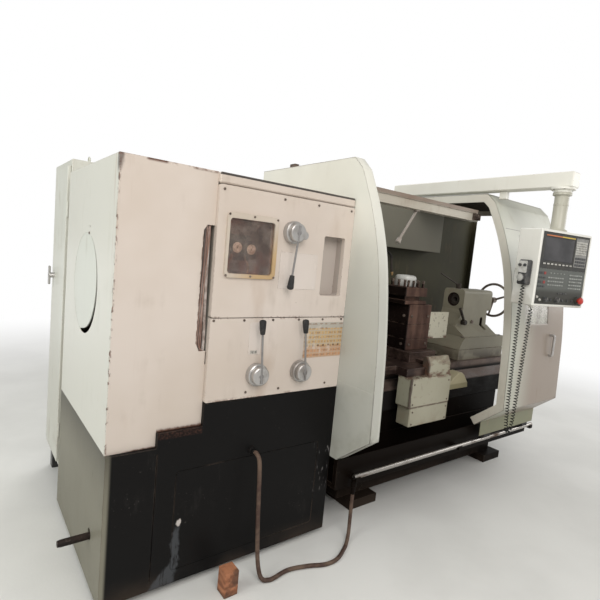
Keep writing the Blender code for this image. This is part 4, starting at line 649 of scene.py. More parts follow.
TIMBER_X, TIMBER_Y, TIMBER_Z = (0.525, 0.597), (-0.205, -0.13), (0.0002, 0.125)
piece("packing_timber", block(TIMBER_X, TIMBER_Y, TIMBER_Z, 0.003, "z", 0.002), timber, "frame",
      ["packing_block"])


# Chart plate and the ghosts of two other plates: thin sheet, one printed yellow and orange
# with rows of small marks, the others faded almost to the paint round them.
chart = Look("chart_plate_print", roughness=0.35)
cell_x, cell_z = (chart.x - 1.005) * 44.0 % 1.0, (chart.z - 1.1) * 40.0 % 1.0
words = chart.noise(48.0, 2.0, seed=2.0)
cells = chart.near(cell_z, 0.5, 0.3, 0.06) * chart.near(cell_x, 0.5, 0.32, 0.06)
strokes = chart.near(cell_z, 0.5, 0.16, 0.08) * chart.step(words, 0.47, 0.55)
dot_x, dot_z = (chart.x - 1.012) * 27.0 % 1.0 - 0.5, (chart.z - 1.166) * 27.0
diamond = chart.step(abs(dot_x) + abs(dot_z), 0.24, 0.17)
low_part = chart.step(chart.z, 1.17, 1.15)
head_part = chart.step(chart.z, 1.262, 1.264)
stain = chart.noise(16.0, 5.0, seed=8.0)
chart_colour = chart.mix(low_part, (0.47, 0.385, 0.285), (0.49, 0.345, 0.245))
chart_colour = chart.mix(cells * 0.8, chart_colour, chart.mix(low_part, (0.56, 0.355, 0.135), (0.53, 0.27, 0.125)))
chart_colour = chart.mix(head_part, chart_colour, (0.44, 0.41, 0.36))
chart_colour = chart.mix(strokes * 0.55, chart_colour, (0.22, 0.12, 0.065))
chart_colour = chart.mix(diamond * 0.9, chart_colour, (0.09, 0.03, 0.022))
chart_colour = chart.mix(chart.step(stain, 0.56, 0.7) * 0.6, chart_colour, (0.62, 0.55, 0.48))
chart.finish(chart_colour, 0.3 + 0.3 * stain, stain, 0.0003)
piece("chart_plate", block((1.003, 1.277), (PANEL_FACE - 0.0012, PANEL_FACE), (1.098, 1.295), 0.006, "y", 0.0003),
      chart, "frame")
faded = enamel("faded_plate", (0.685, 0.615, 0.565), (0.64, 0.56, 0.5), 0.35, 0.25)
piece("faded_plate", block((0.8, 1.045), (PANEL_FACE - 0.001, PANEL_FACE), (1.475, 1.665), 0.005, "y", 0.0003), faded,
      "frame")
lever_plate = block((0.655, 0.728), (PANEL_FACE - 0.001, PANEL_FACE), (1.137, 1.302), 0.004, "y", 0.0003)
piece("faded_lever_plate", lever_plate, faded, "frame")
small_print = Look("small_label_print", roughness=0.4)
letters = small_print.step(small_print.noise(120.0, 2.0), 0.46, 0.56)
small_print.finish(small_print.mix(letters, (0.42, 0.4, 0.36), (0.2, 0.19, 0.17)),
                   0.4 + 0.1 * small_print.noise(40.0))
label = block((0.668, 0.706), (PANEL_FACE - 0.0016, PANEL_FACE - 0.001), (1.142, 1.158), 0.001, "y", 0.0002)
piece("lever_label", label, small_print, "frame")


# Window: yellowed moulded frame held by six screws, a brown oily pane, and behind it two
# round gauges on a plate with thin pipes running down.
def frame_marks(look, tone, worn, speck, patch):
    lower_right = look.step(look.x - look.z + 1.05, 0.0, 0.2)
    tone = look.mix(lower_right * 0.85, tone, look.mix(patch, (0.6, 0.4, 0.17), (0.36, 0.22, 0.09)))
    return tone, worn * 0.4


coat("window_frame", enamel("yellowed_window_frame", (0.6, 0.53, 0.455), (0.54, 0.465, 0.385), 0.4, 0.4, frame_marks))
pane = Look("oily_pane", roughness=0.08, transmission_weight=0.92)
film = pane.noise(14.0, 5.0)
red_glint = pane.step(pane.noise(7.0, 3.0, seed=6.0), 0.5, 0.66)
tint = pane.mix(pane.step(film, 0.38, 0.62), (0.9, 0.76, 0.66), (0.52, 0.4, 0.345))
pane.finish(pane.mix(red_glint * 0.6, tint, (0.78, 0.42, 0.34)), 0.05 + 0.15 * film)
coat("window_pane", pane)
window_screws = [(x, -0.0304, z) for x in (0.4935, 0.627, 0.7615) for z in (1.5305, 1.8165)]
piece("window_screws", screws(window_screws, FRONT, 0.0055), SCREW_DARK, "frame")
plastic_black = hose_look("worn_black_plastic", (0.02, 0.02, 0.021), (0.05, 0.047, 0.044))
coat("gauge_cluster", plastic_black)
GAUGES = ((0.576, 1.665), (0.655, 1.66))
for number, (gauge_x, gauge_z) in enumerate(GAUGES, 1):
    dial = Look(f"gauge_dial_{number}", roughness=0.3)
    off_x, off_z = dial.x - gauge_x, dial.z - gauge_z
    reach = dial.maths("SQRT", off_x * off_x + off_z * off_z)
    turn = dial.maths("ARCTAN2", off_x, off_z) * (12 / math.pi)
    ticks = dial.near(turn % 1.0, 0.5, 0.09, 0.03) * dial.near(reach, 0.0205, 0.003, 0.0005)
    needle = dial.near(off_x - 0.55 * off_z, 0.0, 0.0007, 0.0004) * dial.step(reach, 0.019, 0.018)
    hand = dial.most(needle, dial.step(reach, 0.0034, 0.003))
    dial.finish(dial.mix(dial.most(ticks, hand), (0.98, 0.93, 0.85), (0.05, 0.04, 0.03)),
                0.3 + 0.2 * dial.noise(60.0))
    piece(f"gauge_dial_{number}", lathe(((0.0, 0.0), (0.0255, 0.0), (0.0255, 0.0008), (0.0, 0.0008)),
                                        (gauge_x, 0.0281, gauge_z), FRONT, 40), dial, "frame")
BRASS_TUBE = oily_iron("dull_brass_pipe", (0.16, 0.095, 0.04), (0.34, 0.22, 0.1), 0.2, 0.35)
tubes = []
for (x, z), lean in zip(GAUGES, (-0.02, 0.015)):
    route = ((x, 0.085, z - 0.034), (x, 0.08, z - 0.05), (x + lean, 0.075, z - 0.08), (x + lean, 0.075, 1.5405))
    tubes.append(pipe(curve_through(route, 6), 0.0045, 10))
piece("gauge_pipes", together(*tubes), BRASS_TUBE, "frame")


# Gear levers: two stacked ground discs on the shaft end, a thin rod pinned across the upper
# one, and a tapered black grip. The range lever hangs down, the speed levers stand up.
lever_steel = Look("lever_steel", metallic=0.75)
turning = lever_steel.noise(90.0, 4.0)
handled = lever_steel.noise(12.0, 4.0, seed=5.0)
lever_soil = lever_steel.step(handled, 0.5, 0.74)
lever_steel.finish(lever_steel.mix(lever_soil, (0.47, 0.455, 0.44), (0.3, 0.275, 0.255)), 0.3 + 0.25 * lever_soil,
                   turning, 0.0003)
rod_steel = Look("lever_rod_steel", metallic=0.6)
rod_soil = rod_steel.step(rod_steel.noise(9.0, 4.0), 0.42, 0.66)
rod_steel.finish(rod_steel.mix(rod_soil, (0.26, 0.25, 0.245), (0.17, 0.155, 0.145)), 0.38 + 0.15 * rod_soil)
LEVERS = (("range_lever", 0.862, 1.766, 0.849, 1.516), ("speed_lever_left", 0.71, 1.036, 0.702, 1.282),
          ("speed_lever_right", 0.984, 1.033, 0.971, 1.281))
LEVER_FACE = -0.0206
for name, hub_x, hub_z, knob_x, knob_z in LEVERS:
    hub = lathe(((0.0, 0.061), (0.042, 0.061), (0.0465, 0.0575), (0.047, 0.056), (0.047, 0.034), (0.052, 0.034),
                 (0.057, 0.03), (0.0575, 0.027), (0.0575, 0.0), (0.0, 0.0)), (hub_x, LEVER_FACE, hub_z), FRONT, 48)
    end = np.array((knob_x, LEVER_FACE - 0.046, knob_z))
    start = np.array((hub_x, LEVER_FACE - 0.0615, hub_z))
    run = (end - start) / np.linalg.norm(end - start)
    stem = pipe(np.linspace(start - 0.036 * run, end - 0.02 * run, 10), 0.0055, 14)
    boss = lathe(((0.0, 0.0655), (0.0105, 0.0655), (0.012, 0.064), (0.012, 0.06), (0.0, 0.06)),
                 (hub_x, LEVER_FACE, hub_z), FRONT, 24)
    parts = [hub]
    if name == "range_lever":
        parts.append(lathe(((0.0, 0.054), (0.0195, 0.054), (0.0215, 0.052), (0.0215, 0.034), (0.0, 0.034)),
                           (hub_x + 0.046, LEVER_FACE, hub_z - 0.01), FRONT, 28))
    piece(name + "_disc", together(*parts), lever_steel, name + "_body", [name])
    piece(name + "_rod", together(stem, boss), rod_steel, name + "_body")
    piece(name + "_grip", lathe(((0.0, -0.034), (0.0105, -0.034), (0.012, -0.032), (0.0145, -0.012), (0.0172, 0.02),
                                 (0.0178, 0.027), (0.0168, 0.033), (0.0125, 0.0375), (0.006, 0.04), (0.0, 0.0405)),
                                end, run, 24),
          plastic_black, name + "_body")


# End cover: welded sheet over the gear end. Rust breaks through along its near corner and
# its bottom edge, and round the slot where cables and a metal hose come through. A pressed
# round cover closes the gear train's opening in its left face.
def cover_marks(look, tone, worn, speck, patch):
    corner = look.most(look.x, look.y)
    flake = look.noise(52.0, 5.0, (1.0, 1.0, 0.5), 0.62, 11.0)
    spread = look.noise(9.0, 4.0, seed=14.0)
    chips = look.step(flake + 0.35 * (spread - 0.5), 0.54, 0.58) * look.step(corner + 0.03 * flake, 0.03, 0.018)
    ledge = look.step(look.z + 0.022 * flake, 0.826, 0.813) * look.step(look.x, 0.219, 0.222)
    low = look.step(look.z + 0.016 * flake, 0.746, 0.738) * look.step(look.x + 0.06 * spread, 0.08, 0.16)
    low = look.most(ledge, low) * look.step(look.y, 0.02, 0.004)
    slot = look.step(look.x, 0.3785, 0.3825) * look.near(look.z, 1.465, 0.262, 0.006)
    slot = slot * look.step(look.y, 0.02, 0.004) * look.step(flake + 0.3 * spread, 0.58, 0.7)
    top = look.step(look.z, 1.985, 1.996) * look.step(spread, 0.46, 0.56) * look.step(look.y, 0.03, 0.006)
    stain = look.step(look.maths("SQRT", look.x * look.x * 9.0 + look.maths("POWER", look.z - 1.985, 2.0)) + 0.04
                      * flake, 0.095, 0.05) * look.step(look.y, 0.03, 0.012)
    run = look.noise(30.0, 3.0, (1.0, 1.0, 0.05), seed=21.0)
    streak = look.step(run, 0.58, 0.72) * look.step(corner, 0.16, 0.02)
    # Painted light: the left face is tinted grey-green, the colour the light gives it.
    left_face_light = look.step(look.x, 0.004, 0.001)
    tone = look.mix(left_face_light * 0.75, tone, (0.625, 0.64, 0.575))
    tone = look.mix(streak * 0.45, tone, (0.33, 0.19, 0.11))
    tone = look.mix(stain * 0.8, tone, (0.075, 0.05, 0.04))
    for mark in (chips, low, slot, top):
        worn = look.most(worn, mark)
    return tone, worn


coat("end_cover", enamel("end_cover_enamel", WHITE, AGED, 0.22, 0.33, cover_marks, 0.6))


def lid_marks(look, tone, worn, speck, patch):
    return tone, worn * 0.2


ROUND_LID = np.array((0.505, 1.42))
round_turn = np.linspace(0.0, 2 * np.pi, 120, endpoint=False)
sag = np.clip((np.radians(72) - (round_turn - np.pi)) / np.radians(175), 0.0, 1.0)
lid_reach = 0.2496 - 0.085 * sag * np.sqrt(1.0 - sag)
lid_edge = ROUND_LID + lid_reach[:, None] * np.stack((np.cos(round_turn), -np.sin(round_turn)), 1)
# Its grey-green is the same painted light as the end cover's left face round it.
piece("sprung_round_cover", slab(lid_edge[::-1], 0.0004, 0.006, "x", 0.0006),
      enamel("round_cover_enamel", (0.61, 0.625, 0.56), (0.56, 0.565, 0.5), 0.25, 0.33, lid_marks), "frame",
      ["round_cover"])
piece("end_cover_plug", screw((-0.0002, 0.455, 1.668), LEFT, 0.006), SCREW_DARK, "frame")
slot_rubber = hose_look("slot_cable_rubber", (0.235, 0.19, 0.17), (0.42, 0.36, 0.325))
metal_hose = Look("wrapped_metal_hose", metallic=0.2)
wrap = metal_hose.node("TexWave", {"wave_type": "BANDS", "bands_direction": "Z"},
                       {"Vector": metal_hose.place, "Scale": 70.0, "Distortion": 0.5})
hose_soil = metal_hose.noise(22.0, 4.0)
metal_hose.finish(metal_hose.mix(metal_hose.step(hose_soil, 0.4, 0.62), (0.78, 0.7, 0.65), (0.45, 0.36, 0.31)),
                  0.35 + 0.2 * hose_soil, wrap, 0.003)


def slot_line(x_top, x_low, y, radius, top, bottom):
    """Line that leaves the casting, slants down behind the slot and goes back in lower down."""
    upper, lower = top - 0.1, bottom + 0.1
    middle = (0.5 * (x_top + x_low) - 0.002, y, 0.5 * (upper + lower))
    route = [(0.438, y, top), (0.432, y, top), (0.426, y, top), (x_top, y, top - 0.03), (x_top, y, upper), middle]
    route += [(x_low, y, lower), (x_low, y, bottom + 0.03), (0.426, y, bottom), (0.432, y, bottom),
              (0.438, y, bottom)]
    return pipe(curve_through(route, 8), radius, 14)


piece("slot_grey_cable", slot_line(0.409, 0.401, 0.027, 0.0112, 1.82, 1.08), slot_rubber, "frame",
      ["slot_cable"])
piece("slot_metal_hose", slot_line(0.417, 0.4265, 0.017, 0.0078, 1.78, 1.13), metal_hose, "frame",
      ["slot_hose"])
thin_lines = [slot_line(*line) for line in (
    (0.404, 0.3905, 0.0115, 0.0026, 1.8, 1.1), (0.417, 0.401, 0.0105, 0.003, 1.79, 1.16),
    (0.412, 0.4095, 0.0125, 0.0024, 1.77, 1.12), (0.427, 0.4175, 0.03, 0.005, 1.76, 1.12))]
LINE_COPPER = hose_look("slot_line_copper", (0.27, 0.16, 0.125), (0.44, 0.32, 0.27))
piece("slot_thin_lines", together(*thin_lines), LINE_COPPER, "frame")


# Spindle and chuck: turned steel nose flange, and a chuck body with three stepped jaws in
# its slots, all oily and a little brown.
chuck_steel = oily_iron("chuck_steel", (0.15, 0.12, 0.1), (0.38, 0.34, 0.3), 0.3, 0.28)
for node in ("spindle", "chuck_body", "chuck_jaw_1", "chuck_jaw_2", "chuck_jaw_3"):
    coat(node, chuck_steel)


# Left guard: bent sheet over the spindle end, greenish, with a curved strip along its front.
# Its side wall has the round hole for the chuck, and its foot reaches down to the chip tray.
GREENISH = (0.8, 0.79, 0.715)
GREEN_AGED = (0.73, 0.715, 0.635)
GUARD_X = 1.2803
GUARD_STRIP = 0.07
SHEET = 0.003
ROOF_Z = 2.235
ROOF_FRONT = (0.02, ROOF_Z)
BEND_KNOTS = ((-0.05, 2.17), (-0.095, 2.08), (-0.165, 1.92), (-0.235, 1.7), (-0.275, 1.475), (-0.305, 1.19),
              (-0.318, 0.9), (-0.325, 0.68))
bend = curve_through(BEND_KNOTS, 6)


def guard_line(back, foot, stops=()):
    """Section (y, z) of a guard: foot, curved front, roof; stops are heights that it must pass."""
    heights = np.union1d(bend[:, 1], stops)
    front = np.stack((np.interp(heights, bend[::-1, 1], bend[::-1, 0]), heights), 1)
    roof = np.stack((np.linspace(ROOF_FRONT[0], back, 6), np.full(6, ROOF_Z)), 1)
    return np.vstack((foot, front, roof))


def beside(line, distance):
    """Open line moved to its right by the distance, mitred at its corners."""
    side = np.diff(line, axis=0)
    normal = np.stack((side[:, 1], -side[:, 0]), 1) / np.linalg.norm(side, axis=1, keepdims=True)
    before, after = np.vstack((normal[:1], normal)), np.vstack((normal, normal[-1:]))
    mitre = before + after
    mitre /= np.linalg.norm(mitre, axis=1, keepdims=True)
    return line + mitre * distance / (mitre * after).sum(1, keepdims=True)


def carried(line, columns, hole=None):
    """Sheet: the line (y, z) carried along the columns' x; cells inside the hole (x0, x1, z0, z1) are left out."""
    columns = np.asarray(columns, float)
    points = np.empty((len(line), len(columns), 3))
    points[..., 0] = columns
    points[..., 1:] = line[:, None]
    shape, faces = grid(points)
    if hole:
        centre = shape[faces].mean(1)
        inside = ((centre[:, 0] > hole[0]) & (centre[:, 0] < hole[1]) & (centre[:, 2] > hole[2])
                  & (centre[:, 2] < hole[3]) & (centre[:, 1] < 0.0))
        faces = faces[~inside]
    return shape, faces


def flange(line, x, width):
    """Side flange of a guard: the strip between its line and the line beside it."""
    inner = beside(line, width)
    points = np.stack((np.column_stack((np.full(len(line), x), line)),
                       np.column_stack((np.full(len(line), x), inner))), 1)
    return grid(points)


def guard_marks(look, tone, worn, speck, patch):
    strip = look.step(look.x, GUARD_X + GUARD_STRIP - 0.018, GUARD_X + GUARD_STRIP - 0.01)
    oil = look.step(look.z, 1.25, 0.6) * look.step(patch, 0.46, 0.66)
    tone = look.mix(oil * 0.35, tone, (0.31, 0.27, 0.19))
    # Painted shade inside the guard, towards its back and under the roof.
    inside = look.step(look.y, 0.12, 0.3) * look.step(look.x, GUARD_X + 0.0012,
                                                      GUARD_X + 0.0022) * look.step(look.z, 2.234, 2.233)
    tone = look.mix(inside * 0.8, tone, (0.12, 0.115, 0.088))
    # Painted shade: much darker lower down, as if lit from above.
    tone = look.mix(look.step(look.z, 2.15, 1.35) * 0.62, tone, (0.27, 0.275, 0.245))
    return look.mix(strip * 0.3, tone, (0.66, 0.66, 0.6)), worn


left_paint = enamel("left_guard_enamel", GREENISH, GREEN_AGED, 0.22, 0.32, guard_marks, 0.3)
strip_line = guard_line(0.989, (-0.08, 0.4865))
piece("left_guard_skin", carried(strip_line, (GUARD_X, GUARD_X + 0.035, GUARD_X + GUARD_STRIP)), left_paint, "frame",
      ["left_guard"], sheet=SHEET)
SPINDLE_Y, SPINDLE_Z = 0.47, 1.39
HOLE_MIDDLE, HOLE_R = np.array((SPINDLE_Y, SPINDLE_Z)), 0.17
WALL_FOOT = 0.95
wall_x = GUARD_X + 0.0025
upper = strip_line[(strip_line[:, 1] > WALL_FOOT)]
crossing = np.interp(WALL_FOOT, bend[::-1, 1], bend[::-1, 0])
rim = np.vstack(((crossing, WALL_FOOT), upper, (0.989, WALL_FOOT)))
rim_sides = np.vstack([np.linspace(a, b, 8, endpoint=False) for a, b in zip(rim, np.roll(rim, -1, 0))])
away = rim_sides - HOLE_MIDDLE
hole_ring = HOLE_MIDDLE + HOLE_R * away / np.linalg.norm(away, axis=1, keepdims=True)
wall_rows = np.stack([hole_ring + (rim_sides - hole_ring) * share * 0.999 for share in (0.0, 0.15, 0.5, 1.0)])
wall_points = np.concatenate((np.full((*wall_rows.shape[:2], 1), wall_x), wall_rows), 2)
piece("left_guard_wall", grid(wall_points, True), left_paint, "frame", sheet=0.002)
tongue_front = guard_line(0.5, (-0.08, 0.4865))
tongue_front = tongue_front[tongue_front[:, 1] <= WALL_FOOT + 0.0001]
tongue_front = np.vstack((tongue_front, (crossing, WALL_FOOT)))
tongue_rows = np.stack((np.column_stack((np.full(len(tongue_front), wall_x), tongue_front)),
                        np.column_stack((np.full(len(tongue_front), wall_x), np.full(len(tongue_front), 0.1),
                                         tongue_front[:, 1]))), 1)
piece("left_guard_tongue", grid(tongue_rows), left_paint, "frame", sheet=0.002)
lug = block((GUARD_X + 0.004, GUARD_X + 0.04), (0.61, 0.67), (ROOF_Z - 0.001, ROOF_Z + 0.0215), 0.004, "z")
piece("left_guard_lug", lug, SCREW_DARK, "frame")


# Rear guard and header: dull green sheet behind the bed, its inner face painted near black as
# shade, with a long box under its top, and over the opening a folded beam with a brown channel,
# a work lamp and a small roller.
def rear_marks(look, tone, worn, speck, patch):
    duct = look.step(look.y, 0.8, 0.73) * look.step(look.z, 1.78, 1.8)
    runs = look.noise(8.0, 4.0, (1.0, 1.0, 0.2), seed=31.0)
    tone = look.mix(look.step(runs, 0.45, 0.7) * 0.55, tone, (0.055, 0.048, 0.033))
    # Painted shade: darker still below z 1.25, behind the bed.
    tone = look.mix(look.step(look.z, 1.25, 0.85) * 0.7, tone, (0.04, 0.032, 0.024))
    tone = look.mix(duct * 0.75, tone, (0.235, 0.225, 0.185))
    outside = look.step(look.y, 0.862, 0.864)
    return look.mix(outside * 0.8, tone, (0.5, 0.52, 0.44)), worn


coat("rear_guard", enamel("rear_guard_enamel", (0.06, 0.056, 0.031), (0.043, 0.04, 0.022), 0.3, 0.6, rear_marks, 0.3,
                          shine=0.15))


def beam_marks(look, tone, worn, speck, patch):
    channel = look.step(look.z, 2.0745, 2.0765)
    fitting = look.step(look.z, 2.0195, 2.0185)
    tone = look.mix(channel * (0.55 + 0.4 * patch), tone, (0.155, 0.095, 0.065))
    return look.mix(fitting * 0.8, tone, (0.3, 0.255, 0.225)), worn


coat("header_beam", enamel("header_enamel", (0.56, 0.53, 0.46), (0.44, 0.4, 0.33), 0.6, 0.4, beam_marks, 0.7))
roller = lathe(((0.0, -0.012), (0.014, -0.012), (0.016, -0.009), (0.016, 0.009), (0.014, 0.012), (0.0, 0.012)),
               (2.525, 0.012, 2.052), RIGHT, 24)
bracket = together(block((2.495, 2.499), (0.0, 0.035), (2.025, 2.075), 0.004, "x"),
                   block((2.551, 2.555), (0.0, 0.035), (2.025, 2.075), 0.004, "x"),
                   block((2.495, 2.555), (0.0265, 0.03), (2.025, 2.075), 0.002, "y"),
                   pipe(np.linspace((2.49, 0.012, 2.052), (2.56, 0.012, 2.052), 6), 0.005, 12))
piece("header_roller_bracket", together(roller, bracket), SCREW_DARK, "frame")
lens = Look("lamp_lens", roughness=0.2)
lens.finish(lens.mix(lens.noise(60.0), (0.55, 0.52, 0.47), (0.42, 0.38, 0.33)), 0.2 + 0.1 * lens.noise(40.0))
lamp_top, lamp_low = np.array((1.906, 0.06, 2.022)), np.array((1.754, 0.06, 1.794))
lamp_axis = (lamp_low - lamp_top) / np.linalg.norm(lamp_low - lamp_top)
piece("work_lamp_lens", lathe(((0.0, 0.0), (0.0155, 0.0), (0.0155, 0.0012), (0.0, 0.0025)), lamp_low + 0.0003
                              * lamp_axis, lamp_axis, 24), lens, "frame")


# Sliding door: a bent sheet with side flanges and a window, a ribbed roof, a folded lip over
# the rail, shoes on the two rails, and a pull handle. It slides towards the headstock.
DOOR_LEFT, DOOR_RIGHT = 2.64, 3.45
DOOR_FOOT = (-0.115, 0.5)
DOOR_BACK = 0.8
PANE_X = (2.84, 3.19)
PANE_Z = (1.3, 1.95)


def door_marks(look, tone, worn, speck, patch):
    seam = look.near(look.z, 1.985, 0.0012, 0.0012) * look.step(look.x, 2.66, 2.68) * look.step(look.y, 0.0, -0.02)
    # Painted shade: the inside of the roof is made near black.
    underside = look.step(look.z, 2.2325, 2.2318) * look.step(look.y, 0.0, 0.03)
    # Painted reflection: a brown patch on the upper left of the door, for the surroundings it mirrors.
    brown_reflection = look.step(look.x, 2.68, 3.05) * look.step(look.z, 2.0, 1.5)
    grease = look.step(look.z, 0.62, 0.5) * look.step(patch, 0.42, 0.58)
    tone = look.mix(brown_reflection * 0.85, tone, (0.25, 0.185, 0.145))
    tone = look.mix(grease * 0.6, tone, (0.2, 0.165, 0.1))
    tone = look.mix(seam * 0.9, tone, (0.075, 0.06, 0.045))
    return look.mix(underside, tone, look.mix(patch, (0.045, 0.036, 0.028), (0.12, 0.1, 0.08))), worn


door_paint = enamel("door_enamel", (0.53, 0.54, 0.465), (0.47, 0.47, 0.395), 0.3, 0.32, door_marks, 0.4)
door_line = guard_line(DOOR_BACK, DOOR_FOOT, PANE_Z)
columns = np.union1d(np.linspace(DOOR_LEFT, DOOR_RIGHT, 10), PANE_X)
piece("door_skin", carried(door_line, columns, (*PANE_X, *PANE_Z)), door_paint, "door_body",
      ["door_shell"], sheet=SHEET)
cream = enamel("door_edge_enamel", (0.66, 0.64, 0.565), (0.6, 0.56, 0.48), 0.35, 0.32, None, 0.5)
inner = guard_line(DOOR_BACK - 0.001, (DOOR_FOOT[0] - 0.0005, DOOR_FOOT[1] + 0.0005))
for side, x in (("left", DOOR_LEFT + 0.0035), ("right", DOOR_RIGHT - 0.0009)):
    edge = flange(beside(inner, 0.0004), x, 0.0596)
    piece(f"door_{side}_flange", edge, cream, "door_body", sheet=0.0026)
rib_x = DOOR_LEFT + (DOOR_RIGHT - DOOR_LEFT) * np.arange(1, 8) / 8
# The roof ribs are made dark as painted shade under the roof.
roof_dark = enamel("roof_rib_enamel", (0.12, 0.105, 0.085), (0.07, 0.06, 0.05), 0.5, 0.5, None, 0.5)
piece("door_roof_ribs",
      together(*[block((x - 0.0015, x + 0.0015), (0.03, DOOR_BACK - 0.005), (ROOF_Z - 0.0299, ROOF_Z - 0.0031),
                                         0.0006, "x", 0.0005) for x in rib_x]), roof_dark, "door_body")
shoe_blocks = []
for x in (DOOR_LEFT + 0.08, DOOR_RIGHT - 0.16):
    shoe_blocks.append(block((x, x + 0.08), (RAIL_Y - 0.024, RAIL_Y + 0.022),
                             (RAIL_Z + RAIL_R + 0.0006, RAIL_Z + 0.08), 0.006, "x", 0.002))
    shoe_blocks.append(block((x, x + 0.08), (DOOR_BACK - 0.0098, DOOR_BACK + 0.0398), (2.1868, ROOF_Z - 0.0012),
                             0.004, "x", 0.002))
piece("door_shoes", together(*shoe_blocks), plastic_black, "door_body")
lip_green = enamel("door_lip_enamel", (0.235, 0.24, 0.14), (0.175, 0.175, 0.1), 0.6, 0.4, None, 0.9)
piece("door_lip", block((DOOR_LEFT + 0.004, DOOR_RIGHT - 0.004), (RAIL_Y - 0.025, RAIL_Y - 0.0221),
                        (RAIL_Z + 0.045, 0.5434), 0.002, "y", 0.0006), lip_green, "door_body")
HANDLE_Y = -0.34
grip_line = curve_through(((3.235, -0.3, 1.05), (3.235, -0.318, 1.05), (3.235, HANDLE_Y + 0.004, 1.052),
                           (3.235, HANDLE_Y, 1.068), (3.235, HANDLE_Y, 1.13), (3.235, HANDLE_Y, 1.192),
                           (3.235, HANDLE_Y + 0.004, 1.208), (3.235, -0.314, 1.21), (3.235, -0.296, 1.21)), 6)
piece("door_pull_handle", pipe(grip_line, 0.0095, 16), lever_steel, "door_body")
door_glass = Look("door_pane", roughness=0.1, transmission_weight=0.85)
haze = door_glass.noise(7.0, 5.0)
door_glass.finish(door_glass.mix(door_glass.step(haze, 0.35, 0.65), (0.55, 0.53, 0.47), (0.32, 0.29, 0.24)),
                  0.08 + 0.25 * haze)
pane_rows = beside(door_line[(door_line[:, 1] > PANE_Z[0] - 0.045) & (door_line[:, 1] < PANE_Z[1] + 0.045)],
                   SHEET + 0.0004)
piece("door_pane", carried(pane_rows, np.linspace(PANE_X[0] - 0.018, PANE_X[1] + 0.018, 6)), door_glass, "door_body",
      ["door_window"], sheet=0.0036)


# Carriage: cast saddle on the ways with a cream sheet-metal apron, scraped and grimy, and a
# small cover over the front of the cross slide. Everything above it is brown with oil.
SADDLE_IRON = oily_iron("saddle_iron", (0.036, 0.022, 0.019), (0.145, 0.097, 0.078), 0.35, 0.36)
coat("saddle", SADDLE_IRON)
coat("cross_slide", SADDLE_IRON)
APRON_LEFT = 1.93


def apron_marks(look, tone, worn, speck, patch):
    scrape = look.noise(20.0, 5.0, (0.5, 1.0, 1.0), seed=41.0)
    low = look.step(look.z, 0.78, 0.57) * look.step(patch, 0.44, 0.6)
    seam = look.near(look.z, 0.697, 0.0015, 0.01)
    top = look.step(look.z, 0.875, 0.9) * look.step(scrape, 0.44, 0.56)
    cover = look.step(look.z, 0.955, 0.975)
    # Painted light: the apron's left side is made paler and greener.
    left_side_light = look.step(look.x, 1.95, 1.934)
    tone = look.mix(low * 0.55, tone, (0.26, 0.22, 0.15))
    tone = look.mix(left_side_light * 0.3, tone, (0.5, 0.52, 0.4))
    tone = look.mix(look.step(scrape, 0.6, 0.7) * (0.35 + 0.5 * cover), tone, (0.15, 0.1, 0.075))
    tone = look.mix(seam * look.step(scrape, 0.38, 0.5) * 0.9, tone, (0.1, 0.065, 0.045))
    ragged = look.noise(38.0, 5.0, (1.0, 1.0, 0.35), seed=44.0)
    corner = look.near(look.x + 0.03 * ragged, APRON_LEFT + 0.019, 0.005, 0.007)
    corner = corner * look.near(look.z, 0.81, 0.1, 0.03) * look.step(look.y, -0.026, -0.044)
    shoulder = look.step(look.z + 0.1 * ragged, 0.945, 0.965) * look.step(look.x + 0.05 * ragged, 2.175, 2.15)
    drip = look.step(ragged, 0.6, 0.72) * look.step(look.z, 0.62, 0.86) * look.step(look.x, 2.15, 2.0)
    for bare in (corner, shoulder, drip * 0.7):
        tone = look.mix(bare * 0.9, tone, (0.05, 0.03, 0.022))
    return tone, look.most(worn, look.most(top, cover * look.step(scrape, 0.57, 0.66)) * 0.8) * (1.0 - 0.5 * cover)


coat("apron", enamel("apron_enamel", (0.385, 0.365, 0.275), (0.32, 0.3, 0.22), 0.7, 0.42, apron_marks, 1.0))
apron_screws = [(x, -0.0503, z) for x in (1.96, 2.34) for z in (0.72, 0.86)]
apron_screws += [(x, -0.0463, z) for x in (1.975, 2.345) for z in (0.58, 0.665)]
piece("apron_screws", screws(apron_screws, FRONT, 0.006), SCREW_DARK, "carriage_body")


def cap_marks(look, tone, worn, speck, patch):
    return look.mix(look.step(look.z, 0.815, 0.809) * 0.6, tone, (0.15, 0.135, 0.07)), worn


cap_side = np.array(((2.3705, 0.772), (2.622, 0.772), (2.616, 0.812), (2.566, 0.872), (2.532, 0.893), (2.488, 0.892),
                     (2.44, 0.862), (2.3705, 0.808)))
cap_paint = enamel("carriage_end_cap_enamel", (0.4, 0.36, 0.235), (0.33, 0.29, 0.18), 0.6, 0.45, cap_marks, 0.8)
piece("carriage_end_cap", slab(cap_side, -0.03, 0.06, "y", 0.004), cap_paint, "carriage_body")
WIPER = hose_look("way_wiper_rubber", (0.014, 0.012, 0.011), (0.045, 0.036, 0.03))
wipers = [block((1.8005, 1.8097), (y0, y0 + 0.094), (0.9012, 0.944), 0.004, "x", 0.001) for y0 in (0.188, 0.658)]
piece("saddle_wipers", together(*wipers), WIPER, "carriage_body")
way_cover = together(*[block((2.4003, 2.404), (y0, y0 + 0.15), (0.9012, 0.952), 0.003, "x", 0.0008)
                       for y0 in (0.1, 0.64)])
piece("saddle_end_plates", way_cover, SADDLE_IRON, "carriage_body")


